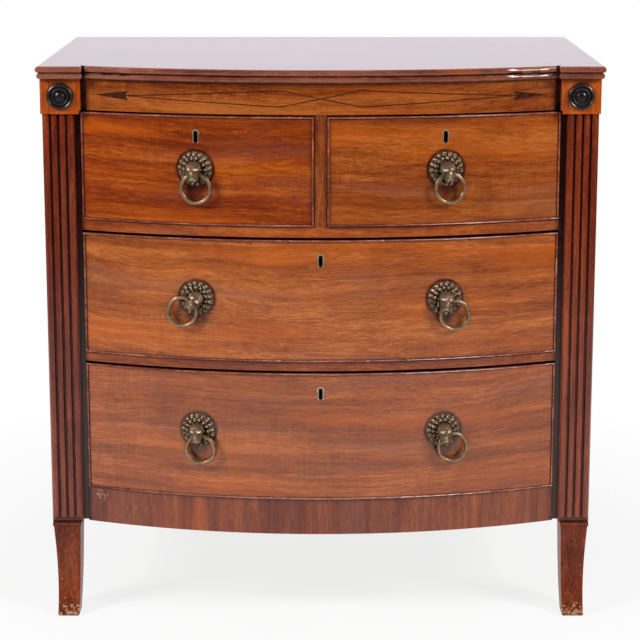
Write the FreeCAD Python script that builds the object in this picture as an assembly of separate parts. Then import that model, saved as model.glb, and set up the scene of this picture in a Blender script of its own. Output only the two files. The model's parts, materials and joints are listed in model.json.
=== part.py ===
"""Bow front chest of two short and two long drawers, with reeded pilasters, sabre legs and lion mask pulls.

Millimetres. +Z is up, +X is the chest's left-to-right as seen from the front, and the front faces -Y.
The origin is on the floor, under the middle of the box that holds the whole chest.
"""
import FreeCAD
import Part
import math
import os

V = FreeCAD.Vector
X_AXIS, Y_AXIS, Z_AXIS = V(1, 0, 0), V(0, 1, 0), V(0, 0, 1)
SAME = 0.01                 # lengths closer than this are taken as equal
PAST = 1.0                  # how far a cutting piece runs past what it cuts

# ---- carcass, outside ---------------------------------------------------------------------------
BODY_WIDTH = 960.0          # across the two side panels
BODY_DEPTH = 556.0          # corner block face to the back edge of the sides
LEG_HEIGHT = 170.0          # floor to the underside of the carcass
APRON_HEIGHT = 63.0
LOW_DRAWER_HEIGHT = 233.0   # height of the opening for the lower long drawer
LOW_RAIL_HEIGHT = 15.0
MID_DRAWER_HEIGHT = 220.0
TOP_RAIL_HEIGHT = 18.0
SHORT_DRAWER_HEIGHT = 193.0
FRIEZE_HEIGHT = 55.0
SIDE_THICKNESS = 18.0

# ---- the bow ------------------------------------------------------------------------------------
BOW_RISE = 76.0             # how far the middle of the front stands ahead of its ends
BOW_END_INSET = 68.0        # ends of the bow inside the side panels' faces
BOW_SETBACK = 14.0          # ends of the bow behind the corner blocks' faces

# ---- top ----------------------------------------------------------------------------------------
TOP_THICKNESS = 22.0
TOP_SIDE_OVERHANG = 7.5
TOP_FRONT_OVERHANG = 14.0
TOP_BACK_OVERHANG = 8.0
EAR_WIDTH = 79.5            # the straight stretch of the top over each corner block
EAR_BUTT = 45.0             # how far an ear reaches back into the top
NOTCH_WIDTH = 4.5           # break between an ear and the bowed stretch
NOTCH_DEPTH = 6.0           # back of the break behind the corner block's face
LOWER_REED_INSET = 2.0      # lower edge reed inside the upper one
REED_FLAT = 0.4             # flat left between the two roundings of one edge reed

# ---- corner blocks, roundels, pilasters ---------------------------------------------------------
POST_WIDTH = 64.0           # side panel's face to the opening
BLOCK_WIDTH = 76.0          # side panel's face to the frieze
BLOCK_PROUD = 2.0           # corner block beyond the side panel
BLOCK_DROP = 6.0            # corner block's lower edge under the frieze
BLOCK_QUIRK_WIDTH = 9.0     # narrow sunk strip between the block's face and the frieze
BLOCK_QUIRK_DEPTH = 26.0
POST_DEPTH = 60.0
REED_COUNT = 4
REED_RADIUS = 6.1
REED_PITCH = 13.75
REED_SETBACK = 2.0          # reed crests behind the corner block face
REED_FOOT = 6.0             # plain stretch of the pilaster under the reeds
POST_QUIRK_DEPTH = 24.0     # sunk strip between the reeds and the opening
ROUNDEL_RADIUS = 22.5
# turned profile: share of the radius, and how far ahead of the block's face
ROUNDEL_PROFILE = [(0, 7.5), (0.07, 7.5), (0.10, 6.4), (0.24, 6.0), (0.34, 4.6), (0.40, 2.6), (0.47, 2.4),
                   (0.53, 4.4), (0.60, 5.0), (0.67, 4.4), (0.71, 2.8), (0.77, 2.8), (0.82, 5.2),
                   (0.89, 6.2), (0.96, 5.2), (1.0, 3.0), (1.0, 0)]
ROUNDEL_SPIGOT_RADIUS = 5.0
ROUNDEL_SPIGOT_LENGTH = 12.0

# ---- legs ---------------------------------------------------------------------------------------
LEG_COLLAR_HEIGHT = 6.0
LEG_COLLAR_PROUD = 1.5
LEG_TENON_RADIUS = 10.0
LEG_TENON_LENGTH = 32.0
LEG_OUTER_INSET = 2.0       # top of the leg inside the side panel's face
LEG_TOP_WIDTH = 48.0
LEG_TOE_WIDTH = 38.0
LEG_TOE_OUTER_INSET = 8.0
LEG_TOE_DEPTH = 38.0
LEG_WAIST_DEPTH = 48.0
LEG_TOE_KICK = 16.0         # toe ahead of the corner block face
LEG_WAIST_BACK = 9.0        # hollow of the leg's front behind the corner block face
LEG_KNEE_DEPTH = 52.0
LEG_KNEE_FORWARD = 1.0      # knee's front ahead of the waist's
LEG_ANKLE_DEPTH = 42.0
LEG_ANKLE_SETBACK = 5.0     # ankle's front behind the middle between waist and toe
TOE_WEAR = 2.5              # sole's edges worn back, all round
KNEE, WAIST, ANKLE = (0.72, 0.45), (0.45, 0.75), (0.22, 0.92)   # share of the height, share of the taper
BACK_LEG_DEPTH = 54.0
BACK_LEG_KICK = 5.0
BACK_LEG_HOLLOW = 5.0
BACK_WAIST = (0.5, 0.7)
BACK_TENON_INSET = 14.0     # middle of the back leg's tenon inside the side panel

# ---- frieze inlay -------------------------------------------------------------------------------
STRING_WIDTH = 1.9
STRING_DEPTH = 1.0
KITE_SHOULDER_X = 68.0
KITE_HALF_HEIGHT = 14.0
ARROW_TIP_INSET = 15.0      # tip inside the end of the frieze
ARROW_LENGTH = 55.0         # tip to the notch between the barbs
ARROW_BARB_SWEEP = 5.0
ARROW_BARB_HALF_HEIGHT = 8.0

# ---- inside the carcass -------------------------------------------------------------------------
FRIEZE_THICKNESS = 22.0
APRON_THICKNESS = 22.0
RAIL_SETBACK = 1.5          # rails and apron behind the drawer fronts
RAIL_TENON_LENGTH = 14.0
RAIL_TENON_DEPTH = 26.0
RAIL_TENON_FRONT = 26.0     # tenon behind the corner block face
RAIL_TENON_SHARE = 0.5      # tenon thickness as a part of the rail's
MUNTIN_WIDTH = 20.0
DUSTBOARD_THICKNESS = 9.0
HOUSING_DEPTH = 5.0         # boards let into the side panels
BACK_THICKNESS = 10.0
BACK_REBATE = 9.0
BACK_BOARD_COUNT = 5
BACK_BOARD_GAP = 0.8
GUIDE_WIDTH = 24.0
GUIDE_HEIGHT = 18.0
KICKER_WIDTH = 30.0
TOP_RAIL_BACK_DEPTH = 40.0
STOP_SIZE = (34.0, 14.0, 5.0)
STOP_INSET = 116.0          # middle of a stop inside the opening's side
SHORT_STOP_INSET = 216.0
GLUE_BLOCK = (70.0, 22.0, 22.0)
GLUE_BLOCK_PLACES = (0.3, 0.8)  # along each half of the apron
LEG_BLOCK = 62.0
LEG_BLOCK_HEIGHT = 46.0

# ---- drawers ------------------------------------------------------------------------------------
GAP_SIDE = 1.5
GAP_UNDER = 1.5
GAP_OVER_LONG = 4.0
GAP_OVER_SHORT = 3.0
RUN_CLEARANCE = 0.3         # drawer sides over their runners, and other faces that slide past
FRONT_THICKNESS = 24.0
DRAWER_SIDE_THICKNESS = 10.0
DRAWER_BACK_THICKNESS = 9.0
DRAWER_BACK_GAP = 12.0      # drawer back to the back boards
DRAWER_SIDE_DROP = 8.0      # top of the sides under the top of the front
DRAWER_BOTTOM_THICKNESS = 7.0
DRAWER_BOTTOM_RAISE = 9.0
GROOVE_DEPTH = 5.0
TAIL_COUNT = 3
TAIL_SHARE = 0.72           # middle width of a tail as a part of the pitch
TAIL_LOW_MARGIN = 2.0
TAIL_HIGH_MARGIN = 1.0
TAIL_LENGTH = 11.0
TAIL_FLARE = 3.0
BEAD_THICKNESS = 3.2
BEAD_PROUD = 3.0
BEAD_DEPTH = 10.0
BEAD_ROUND = 1.4

# ---- locks --------------------------------------------------------------------------------------
LOCK_CASE = (60.0, 12.0, 46.0)
LOCK_LET_IN = 8.0
BOLT_SIZE = (26.0, 5.0, 16.0)
BOLT_TRAVEL = 8.0
BOLT_CLEARANCE = 0.3
BOLT_SUNK = 0.5             # bolt under the drawer front's top edge when unlocked
KEY_DROP = 30.0             # keyhole's round under the drawer front's top edge
KEY_HOLE_RADIUS = 1.9
KEY_SLOT_WIDTH = 3.4
KEY_SLOT_LENGTH = 14.0
ESCUTCHEON_RADIUS = 6.5
ESCUTCHEON_FOOT_WIDTH = 10.0
ESCUTCHEON_DROP = 17.0
ESCUTCHEON_THICKNESS = 3.0
ESCUTCHEON_PROUD = 0.3

# ---- pulls --------------------------------------------------------------------------------------
PULL_OFFSET = 1.0           # pulls outside the middles of the short drawers
ROSETTE_RADIUS = 28.5
ROSETTE_RIM = 2.6
ROSETTE_DOME = 7.0
ROSETTE_FLAT = 3.0          # flat rim outside the dome
CURL_COUNT = 13
CURL_RADIUS = 5.0
CURL_DEPTH = 4.0
CURL_STAND_OFF = 1.0
CURL_CIRCLE = 25.2
FACE_RADIUS = 15.0
FACE_STAND_OFF = 2.0
FACE_RISE = 2.0             # face's middle over the rosette's
FACE_DEPTH = 8.5
MUZZLE_HALF_WIDTH = 8.0
MUZZLE_HALF_HEIGHT = 12.5
MUZZLE_REACH = 24.5         # tip of the muzzle ahead of the drawer front
MUZZLE_ROOT = 2.0           # how deep the muzzle's egg starts before its back is cut flat
MOUTH_DROP = 8.0            # ring's hinge line under the rosette's middle
MOUTH_STAND_OFF = 11.0      # ring's hinge line ahead of the drawer front
RING_RADIUS = 24.75         # to the middle of the wire
RING_WIRE_RADIUS = 2.75
MOUTH_CLEARANCE = 0.5
MOUTH_FLARE = 4.0           # how far the flare of the mouth is worked past the muzzle's sides
POST_RADIUS = 2.5
POST_BEYOND_NUT = 1.0
NUT_RADIUS = 7.0
NUT_THICKNESS = 4.0
NUT_SEAT = 0.05             # the flat nut touches the hollow inside of the front at its rim

SHORT_LEFT, SHORT_RIGHT, LONG_UPPER, LONG_LOWER = "short_left", "short_right", "long_upper", "long_lower"
# degrees that each loose mask has turned on its post, by drawer and by side (-1 is left)
PULL_TURNS = {
    SHORT_LEFT: {-1: 5.0},
    SHORT_RIGHT: {1: 9.0},
    LONG_UPPER: {-1: -46.0, 1: 29.0},
    LONG_LOWER: {-1: 10.0, 1: 27.0},
}
# height of the pulls over the middle of their opening
PULL_RISES = {SHORT_LEFT: 2.5, SHORT_RIGHT: 2.5, LONG_UPPER: 1.0, LONG_LOWER: 6.5}

# ---- places worked out from the sizes above -----------------------------------------------------
BODY_HALF = BODY_WIDTH / 2
OPENING_HALF = BODY_HALF - POST_WIDTH
FRIEZE_HALF = BODY_HALF - BLOCK_WIDTH
BOW_HALF_CHORD = BODY_HALF - BOW_END_INSET
PULL_X = (OPENING_HALF + MUNTIN_WIDTH / 2) / 2 + PULL_OFFSET
BOW_REACH = BOW_RISE - BOW_SETBACK + TOP_FRONT_OVERHANG
FACE = (BOW_REACH - BODY_DEPTH - TOP_BACK_OVERHANG) / 2     # Y of the corner blocks' faces
BACK = FACE + BODY_DEPTH
POST_BACK = FACE + POST_DEPTH
BOW_RADIUS = (BOW_HALF_CHORD ** 2 + BOW_RISE ** 2) / (2 * BOW_RISE)
BOW_CENTRE_Y = FACE + BOW_SETBACK - BOW_RISE + BOW_RADIUS
BACK_INNER = BACK - BACK_THICKNESS
SIDE_INNER = BODY_HALF - SIDE_THICKNESS

Z_BASE = LEG_HEIGHT
Z_APRON = Z_BASE + APRON_HEIGHT
Z_LOW_RAIL = Z_APRON + LOW_DRAWER_HEIGHT
Z_MID = Z_LOW_RAIL + LOW_RAIL_HEIGHT
Z_TOP_RAIL = Z_MID + MID_DRAWER_HEIGHT
Z_SHORT = Z_TOP_RAIL + TOP_RAIL_HEIGHT
Z_FRIEZE = Z_SHORT + SHORT_DRAWER_HEIGHT
Z_TOP = Z_FRIEZE + FRIEZE_HEIGHT


# ---- shapes that repeat -------------------------------------------------------------------------
def block(x0, x1, y0, y1, z0, z1):
    """A rectangular piece between two corners."""
    return Part.makeBox(x1 - x0, y1 - y0, z1 - z0, V(x0, y0, z0))


def prism(points, z0, z1):
    """A flat outline of (x, y) points, carried up from z0 to z1."""
    outline = [V(x, y, z0) for x, y in points]
    face = Part.Face(Part.makePolygon(outline + outline[:1]))
    return face.extrude(V(0, 0, z1 - z0))


def mirrored(shape):
    """The same piece for the other side of the chest."""
    return shape.mirror(V(0, 0, 0), X_AXIS)


def bow_y(x, proud=0.0):
    """Y of the bowed front at x; proud moves the surface forward along its radius."""
    radius = BOW_RADIUS + proud
    return BOW_CENTRE_Y - math.sqrt(radius * radius - x * x)


def bow_arc(x0, x1, proud):
    """The bowed line from x0 to x1, as an edge in the floor plane."""
    stations = (x0, (x0 + x1) / 2, x1)
    return Part.Arc(*[V(x, bow_y(x, proud), 0) for x in stations]).toShape()


def bowed(x0, x1, z0, z1, proud=0.0, thickness=None, y_back=None):
    """A board with a bowed front, and a back that is bowed with it (thickness) or straight (y_back)."""
    front = bow_arc(x0, x1, proud)
    if thickness is not None:
        rear = bow_arc(x1, x0, proud - thickness)
        rear_right, rear_left = (V(x, bow_y(x, proud - thickness), 0) for x in (x1, x0))
    else:
        rear_right, rear_left = V(x1, y_back, 0), V(x0, y_back, 0)
        rear = Part.LineSegment(rear_right, rear_left).toShape()
    front_right, front_left = V(x1, bow_y(x1, proud), 0), V(x0, bow_y(x0, proud), 0)
    right = Part.LineSegment(front_right, rear_right).toShape()
    left = Part.LineSegment(rear_left, front_left).toShape()
    solid = Part.Face(Part.Wire([front, right, rear, left])).extrude(V(0, 0, z1 - z0))
    solid.translate(V(0, 0, z0))
    return solid


def rounded(solid, radius, wanted):
    """The solid with those edges rounded that wanted() picks."""
    return solid.makeFillet(radius, [edge for edge in solid.Edges if wanted(edge)])


def level(edge):
    """Whether an edge stays at one height."""
    return edge.BoundBox.ZLength < SAME


def on_arc(edge, radius):
    """Whether an edge is part of a circle of that radius."""
    return isinstance(edge.Curve, Part.Circle) and abs(edge.Curve.Radius - radius) < SAME


def at_side(edge, x):
    """Whether an edge runs from front to back at x, or at x on the other side."""
    return edge.BoundBox.XLength < SAME and abs(abs(edge.BoundBox.XMin) - x) < SAME


def fused(pieces):
    """One solid from pieces that meet."""
    return pieces[0].multiFuse(pieces[1:]).removeSplitter() if len(pieces) > 1 else pieces[0]


# ---- top ----------------------------------------------------------------------------------------
def top_leaf(z0, z1, inset):
    """One of the top's two edge reeds, as a full board with rounded front and sides."""
    half = BODY_HALF + TOP_SIDE_OVERHANG - inset
    overhang = TOP_FRONT_OVERHANG - inset
    ear_inner = BODY_HALF + TOP_SIDE_OVERHANG - EAR_WIDTH
    bow_end = ear_inner - NOTCH_WIDTH
    reed = (z1 - z0 - REED_FLAT) / 2
    notch_y = FACE + NOTCH_DEPTH
    back_y = BACK + TOP_BACK_OVERHANG
    right = [V(bow_end, bow_y(bow_end, overhang), 0), V(bow_end, notch_y, 0), V(half, notch_y, 0),
             V(half, back_y, 0)]
    corners = right + [V(-corner.x, corner.y, 0) for corner in reversed(right)]
    lines = [Part.LineSegment(a, b).toShape() for a, b in zip(corners, corners[1:])]
    front = bow_arc(-bow_end, bow_end, overhang)
    board = Part.Face(Part.Wire([front] + lines)).extrude(V(0, 0, z1 - z0))
    board.translate(V(0, 0, z0))
    bow_radius = BOW_RADIUS + overhang
    board = rounded(board, reed, lambda e: level(e) and (on_arc(e, bow_radius) or at_side(e, half)))
    ear = block(-half, -ear_inner, FACE - overhang, FACE + EAR_BUTT, z0, z1)
    rear_y = FACE + EAR_BUTT
    ear = rounded(ear, reed, lambda e: level(e) and e.BoundBox.YMin < rear_y - PAST)
    return fused([board, ear, mirrored(ear)])


def top():
    """The top: one board whose front and side edges are worked with two reeds."""
    middle = Z_TOP + TOP_THICKNESS / 2
    lower = top_leaf(Z_TOP, middle, LOWER_REED_INSET)
    return fused([lower, top_leaf(middle, Z_TOP + TOP_THICKNESS, 0.0)])


# ---- frieze and inlay ---------------------------------------------------------------------------
def strip(x0, z0, x1, z1, width):
    """A straight strip of stringing in the XZ plane, long enough to be cut by the bowed face."""
    length = math.hypot(x1 - x0, z1 - z0)
    across = V(-(z1 - z0) / length, 0, (x1 - x0) / length) * (width / 2)
    start, end = V(x0, 0, z0), V(x1, 0, z1)
    outline = [start + across, end + across, end - across, start - across]
    face = Part.Face(Part.makePolygon(outline + outline[:1]))
    return face.extrude(V(0, BOW_RISE * 2, 0))


def inlay():
    """Ebony stringing: two long crossed kites, each ending in an arrowhead."""
    middle = Z_FRIEZE + FRIEZE_HEIGHT / 2
    low, high = middle - KITE_HALF_HEIGHT, middle + KITE_HALF_HEIGHT
    tip = FRIEZE_HALF - ARROW_TIP_INSET
    notch = tip - ARROW_LENGTH
    barb = notch - ARROW_BARB_SWEEP
    pieces = [strip(-KITE_SHOULDER_X, low, KITE_SHOULDER_X, high, STRING_WIDTH),
              strip(-KITE_SHOULDER_X, high, KITE_SHOULDER_X, low, STRING_WIDTH)]
    for side in (-1, 1):
        for shoulder in (low, high):
            pieces.append(strip(side * KITE_SHOULDER_X, shoulder, side * notch, middle, STRING_WIDTH))
        head = [V(side * notch, 0, middle),
                V(side * barb, 0, middle + ARROW_BARB_HALF_HEIGHT),
                V(side * tip, 0, middle),
                V(side * barb, 0, middle - ARROW_BARB_HALF_HEIGHT)]
        face = Part.Face(Part.makePolygon(head + head[:1]))
        pieces.append(face.extrude(V(0, BOW_RISE * 2, 0)))
    pattern = fused(pieces)
    pattern.translate(V(0, bow_y(0) - BOW_RISE / 2, 0))
    skin = bowed(-FRIEZE_HALF, FRIEZE_HALF, Z_FRIEZE, Z_TOP, 0.0, thickness=STRING_DEPTH)
    return pattern.common(skin)


def frieze_board():
    """The bowed frieze between the corner blocks."""
    return bowed(-FRIEZE_HALF, FRIEZE_HALF, Z_FRIEZE, Z_TOP, 0.0, thickness=FRIEZE_THICKNESS)


# ---- corner posts -------------------------------------------------------------------------------
def corner_block():
    """Left corner block over the pilaster, with a sunk quirk beside the frieze."""
    outer = -BODY_HALF - BLOCK_PROUD
    face_edge = -FRIEZE_HALF - BLOCK_QUIRK_WIDTH
    quirk_y = FACE + BLOCK_QUIRK_DEPTH
    beside_frieze = prism([(outer, FACE), (face_edge, FACE), (face_edge, quirk_y), (-FRIEZE_HALF, quirk_y),
                           (-FRIEZE_HALF, POST_BACK), (outer, POST_BACK)], Z_FRIEZE, Z_TOP)
    beside_drawer = block(outer, -OPENING_HALF, FACE, POST_BACK, Z_FRIEZE - BLOCK_DROP, Z_FRIEZE)
    return fused([beside_frieze, beside_drawer])


def roundel_centre():
    """Middle of the left corner block's visible face."""
    outer = -BODY_HALF - BLOCK_PROUD
    face_edge = -FRIEZE_HALF - BLOCK_QUIRK_WIDTH
    return V((outer + face_edge) / 2, FACE, (Z_FRIEZE - BLOCK_DROP + Z_TOP) / 2)


def roundel():
    """Turned roundel: concentric mouldings around a domed boss, with a spigot behind."""
    points = [V(share * ROUNDEL_RADIUS, -proud, 0) for share, proud in ROUNDEL_PROFILE]
    points += [V(ROUNDEL_SPIGOT_RADIUS, 0, 0), V(ROUNDEL_SPIGOT_RADIUS, ROUNDEL_SPIGOT_LENGTH, 0),
               V(0, ROUNDEL_SPIGOT_LENGTH, 0)]
    face = Part.Face(Part.makePolygon(points + points[:1]))
    solid = face.revolve(V(0, 0, 0), Y_AXIS, 360)
    solid.translate(roundel_centre())
    return solid


def pilaster():
    """Left front post: a square post with a row of reeds worked on its face."""
    reed_y = FACE + REED_SETBACK + REED_RADIUS
    reeds_width = REED_COUNT * REED_PITCH
    inner = -BODY_HALF + reeds_width
    z0, z1 = Z_BASE, Z_FRIEZE - BLOCK_DROP
    quirk_y = FACE + POST_QUIRK_DEPTH
    post = prism([(-BODY_HALF, reed_y), (inner, reed_y), (inner, quirk_y), (-OPENING_HALF, quirk_y),
                  (-OPENING_HALF, POST_BACK), (-BODY_HALF, POST_BACK)], z0, z1)
    reeds = []
    for i in range(REED_COUNT):
        x = -BODY_HALF + REED_PITCH * (i + 0.5)
        foot = z0 + REED_FOOT + REED_RADIUS
        reeds.append(Part.makeCylinder(REED_RADIUS, z1 - foot, V(x, reed_y, foot)))
        reeds.append(Part.makeSphere(REED_RADIUS, V(x, reed_y, foot)))
    return fused([post] + reeds)


def leg_section(x0, x1, y0, y1, z):
    """One level of a leg, as a closed rectangle."""
    corners = [V(x0, y0, z), V(x1, y0, z), V(x1, y1, z), V(x0, y1, z)]
    return Part.makePolygon(corners + corners[:1])


def worn_toe(x0, y0):
    """The last of a toe above the floor, its edges worn away all round."""
    x1, y1 = x0 + LEG_TOE_WIDTH, y0 + LEG_TOE_DEPTH
    sole = leg_section(x0 + TOE_WEAR, x1 - TOE_WEAR, y0 + TOE_WEAR, y1 - TOE_WEAR, 0)
    return Part.makeLoft([sole, leg_section(x0, x1, y0, y1, TOE_WEAR)], True, True)


def front_leg():
    """Left front leg: a sabre leg that hollows and then kicks forward to its toe."""
    top_z = LEG_HEIGHT - LEG_COLLAR_HEIGHT
    x_top = -BODY_HALF + LEG_OUTER_INSET
    x_toe = -BODY_HALF + LEG_TOE_OUTER_INSET
    waist = FACE + LEG_WAIST_BACK
    toe = FACE - LEG_TOE_KICK
    first = FACE + REED_SETBACK
    ankle = (waist + toe) / 2 + LEG_ANKLE_SETBACK
    # share of the height, share of the taper, front, depth
    levels = [(1.0, 0.0, first, POST_DEPTH - REED_SETBACK), (*KNEE, waist - LEG_KNEE_FORWARD, LEG_KNEE_DEPTH),
              (*WAIST, waist, LEG_WAIST_DEPTH), (*ANKLE, ankle, LEG_ANKLE_DEPTH),
              (TOE_WEAR / top_z, 1.0, toe, LEG_TOE_DEPTH)]
    wires = []
    for share, taper, y, depth in levels:
        x0 = x_top + (x_toe - x_top) * taper
        width = LEG_TOP_WIDTH + (LEG_TOE_WIDTH - LEG_TOP_WIDTH) * taper
        wires.append(leg_section(x0, x0 + width, y, y + depth, top_z * share))
    leg = Part.makeLoft(wires, True, False)
    proud = LEG_COLLAR_PROUD
    collar = block(x_top - proud, x_top + LEG_TOP_WIDTH + proud, first - proud, POST_BACK, top_z, LEG_HEIGHT)
    return fused([leg, worn_toe(x_toe, toe), collar, leg_tenon()])


def leg_tenon():
    """Round tenon of the left front leg, in the post above."""
    centre_x = -BODY_HALF + LEG_OUTER_INSET + LEG_TOP_WIDTH / 2
    return Part.makeCylinder(LEG_TENON_RADIUS, LEG_TENON_LENGTH + LEG_COLLAR_HEIGHT,
                             V(centre_x, FACE + POST_DEPTH / 2, LEG_HEIGHT - LEG_COLLAR_HEIGHT))


def back_leg():
    """Left back leg: plainer, kicking a little backwards."""
    x_top = -BODY_HALF + LEG_OUTER_INSET
    x_toe = -BODY_HALF + LEG_TOE_OUTER_INSET
    levels = [(1.0, 0.0, BACK, BACK_LEG_DEPTH), (*BACK_WAIST, BACK - BACK_LEG_HOLLOW, LEG_WAIST_DEPTH),
              (TOE_WEAR / LEG_HEIGHT, 1.0, BACK + BACK_LEG_KICK, LEG_TOE_DEPTH)]
    wires = []
    for share, taper, rear, depth in levels:
        x0 = x_top + (x_toe - x_top) * taper
        width = LEG_TOP_WIDTH + (LEG_TOE_WIDTH - LEG_TOP_WIDTH) * taper
        wires.append(leg_section(x0, x0 + width, rear - depth, rear, LEG_HEIGHT * share))
    leg = Part.makeLoft(wires, True, False)
    return fused([leg, worn_toe(x_toe, BACK + BACK_LEG_KICK - LEG_TOE_DEPTH), back_tenon()])


def back_tenon():
    """Round tenon of the left back leg, in the corner block above it."""
    centre_x = -SIDE_INNER + BACK_TENON_INSET
    return Part.makeCylinder(LEG_TENON_RADIUS, LEG_TENON_LENGTH,
                             V(centre_x, BACK - BACK_LEG_DEPTH / 2, LEG_HEIGHT))


# ---- carcass boards -----------------------------------------------------------------------------
def rail_tenons(z0, z1):
    """Tenons at both ends of a rail."""
    margin = (z1 - z0) * (1 - RAIL_TENON_SHARE) / 2
    y0 = FACE + RAIL_TENON_FRONT
    left = block(-OPENING_HALF - RAIL_TENON_LENGTH, -OPENING_HALF, y0, y0 + RAIL_TENON_DEPTH,
                 z0 + margin, z1 - margin)
    return [left, mirrored(left)]


def rail(z0, z1):
    """A bowed drawer rail, tenoned into the posts."""
    board = bowed(-OPENING_HALF, OPENING_HALF, z0, z1, -RAIL_SETBACK, y_back=POST_BACK)
    return fused([board] + rail_tenons(z0, z1))


def housed_board(z_top, thickness):
    """A board behind a rail, let into both side panels."""
    reach = SIDE_INNER + HOUSING_DEPTH
    return block(-reach, reach, POST_BACK, BACK_INNER, z_top - thickness, z_top)


def bottom_board():
    """The carcass bottom: housed in the sides, and bowed to follow the apron in front."""
    belly = bowed(-OPENING_HALF, OPENING_HALF, Z_APRON - DUSTBOARD_THICKNESS, Z_APRON,
                  -RAIL_SETBACK - APRON_THICKNESS, y_back=POST_BACK)
    return fused([housed_board(Z_APRON, DUSTBOARD_THICKNESS), belly])


def apron():
    """The bowed apron under the lower drawer."""
    return bowed(-OPENING_HALF, OPENING_HALF, Z_BASE, Z_APRON, -RAIL_SETBACK, thickness=APRON_THICKNESS)


def muntin():
    """The upright between the two short drawers."""
    return bowed(-MUNTIN_WIDTH / 2, MUNTIN_WIDTH / 2, Z_SHORT, Z_FRIEZE, -RAIL_SETBACK, y_back=POST_BACK)


def back_boards():
    """Upright boards in the rebates of the sides."""
    half = SIDE_INNER + BACK_REBATE
    width = (2 * half - BACK_BOARD_GAP * (BACK_BOARD_COUNT - 1)) / BACK_BOARD_COUNT
    boards = []
    for i in range(BACK_BOARD_COUNT):
        x0 = -half + i * (width + BACK_BOARD_GAP)
        boards.append(block(x0, x0 + width, BACK_INNER, BACK, Z_BASE, Z_TOP))
    return boards


def side_panel(housed):
    """Left side panel, with the housings of the boards cut in it."""
    panel = block(-BODY_HALF, -SIDE_INNER, POST_BACK, BACK, Z_BASE, Z_TOP)
    return panel.cut(Part.makeCompound(housed + back_boards()))


def top_frame():
    """Kickers over the short drawers, and the rail behind them, all under the top."""
    y0 = POST_BACK
    y1 = BACK_INNER - TOP_RAIL_BACK_DEPTH
    rear = block(-SIDE_INNER, SIDE_INNER, y1, BACK_INNER, Z_FRIEZE, Z_TOP)
    outer = block(-SIDE_INNER, -SIDE_INNER + KICKER_WIDTH, y0, y1, Z_FRIEZE, Z_TOP)
    centre = block(-KICKER_WIDTH / 2, KICKER_WIDTH / 2, y0, y1, Z_FRIEZE, Z_TOP)
    return [rear, outer, mirrored(outer), centre]


def drawer_guides():
    """Strips on the boards that keep the drawers straight."""
    guides = []
    for floor in (Z_APRON, Z_MID, Z_SHORT):
        left = block(-OPENING_HALF - GUIDE_WIDTH, -OPENING_HALF, POST_BACK, BACK_INNER, floor,
                     floor + GUIDE_HEIGHT)
        guides += [left, mirrored(left)]
    half = MUNTIN_WIDTH / 2
    guides.append(block(-half, half, POST_BACK, BACK_INNER, Z_SHORT, Z_SHORT + GUIDE_HEIGHT))
    return guides


def drawer_stops():
    """Small blocks that the drawer fronts come to rest on."""
    width, depth, height = STOP_SIZE
    stops = []
    for floor, inset in ((Z_APRON, STOP_INSET), (Z_MID, STOP_INSET), (Z_SHORT, SHORT_STOP_INSET)):
        x = OPENING_HALF - inset
        inner_edge = x - width / 2
        y0 = bow_y(x + width / 2, -FRONT_THICKNESS) + RUN_CLEARANCE
        left = block(-inner_edge - width, -inner_edge, y0, y0 + depth, floor, floor + height)
        stops += [left, mirrored(left)]
    return stops


def glue_blocks():
    """Blocks under the carcass bottom: in the corners over the back legs, and behind the apron."""
    length, depth, height = GLUE_BLOCK
    z1 = Z_APRON - DUSTBOARD_THICKNESS
    blocks = []
    for side in (-1, 1):
        corner = block(-SIDE_INNER, -SIDE_INNER + LEG_BLOCK, BACK_INNER - LEG_BLOCK, BACK_INNER,
                       Z_BASE, Z_BASE + LEG_BLOCK_HEIGHT)
        if side > 0:
            corner = mirrored(corner)
        blocks.append(corner)
        for place in GLUE_BLOCK_PLACES:
            x = side * place * OPENING_HALF
            inner = bowed(x - length / 2, x + length / 2, z1 - height, z1,
                          -RAIL_SETBACK - APRON_THICKNESS, thickness=depth)
            blocks.append(inner)
    return blocks


# ---- drawers ------------------------------------------------------------------------------------
def cockbead(x0, x1, z0, z1, upright):
    """One strip of cockbead with a rounded nose, standing proud of the drawer front."""
    bead = bowed(x0, x1, z0, z1, BEAD_PROUD, thickness=BEAD_PROUD + BEAD_DEPTH)
    nose_y = (bow_y(x0, BEAD_PROUD), bow_y(x1, BEAD_PROUD))

    def nose(edge):
        if upright:
            return not level(edge) and any(abs(edge.Vertexes[0].Y - y) < SAME for y in nose_y)
        return level(edge) and on_arc(edge, BOW_RADIUS + BEAD_PROUD)
    return rounded(bead, BEAD_ROUND, nose)


def tails(x0, x1, y_tip, y_root, z0, z1):
    """Dovetail tails on the end of a drawer side: wide at the tip, narrow at the root."""
    pitch = (z1 - z0) / TAIL_COUNT
    solids = []
    for i in range(TAIL_COUNT):
        middle = z0 + pitch * (i + 0.5)
        tip = (pitch * TAIL_SHARE + TAIL_FLARE) / 2
        root = (pitch * TAIL_SHARE - TAIL_FLARE) / 2
        outline = [V(x0, y_tip, middle - tip), V(x0, y_root, middle - root), V(x0, y_root, middle + root),
                   V(x0, y_tip, middle + tip)]
        face = Part.Face(Part.makePolygon(outline + outline[:1]))
        solids.append(face.extrude(V(x1 - x0, 0, 0)))
    return solids


def keyhole(radius, slot_half, drop, x, y0, y1, z):
    """A keyhole outline, round above and straight below, carried from y0 to y1."""
    barrel = Part.makeCylinder(radius, y1 - y0, V(x, y0, z), Y_AXIS)
    slot = block(x - slot_half, x + slot_half, y0, y1, z - drop, z)
    return fused([barrel, slot])


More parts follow.
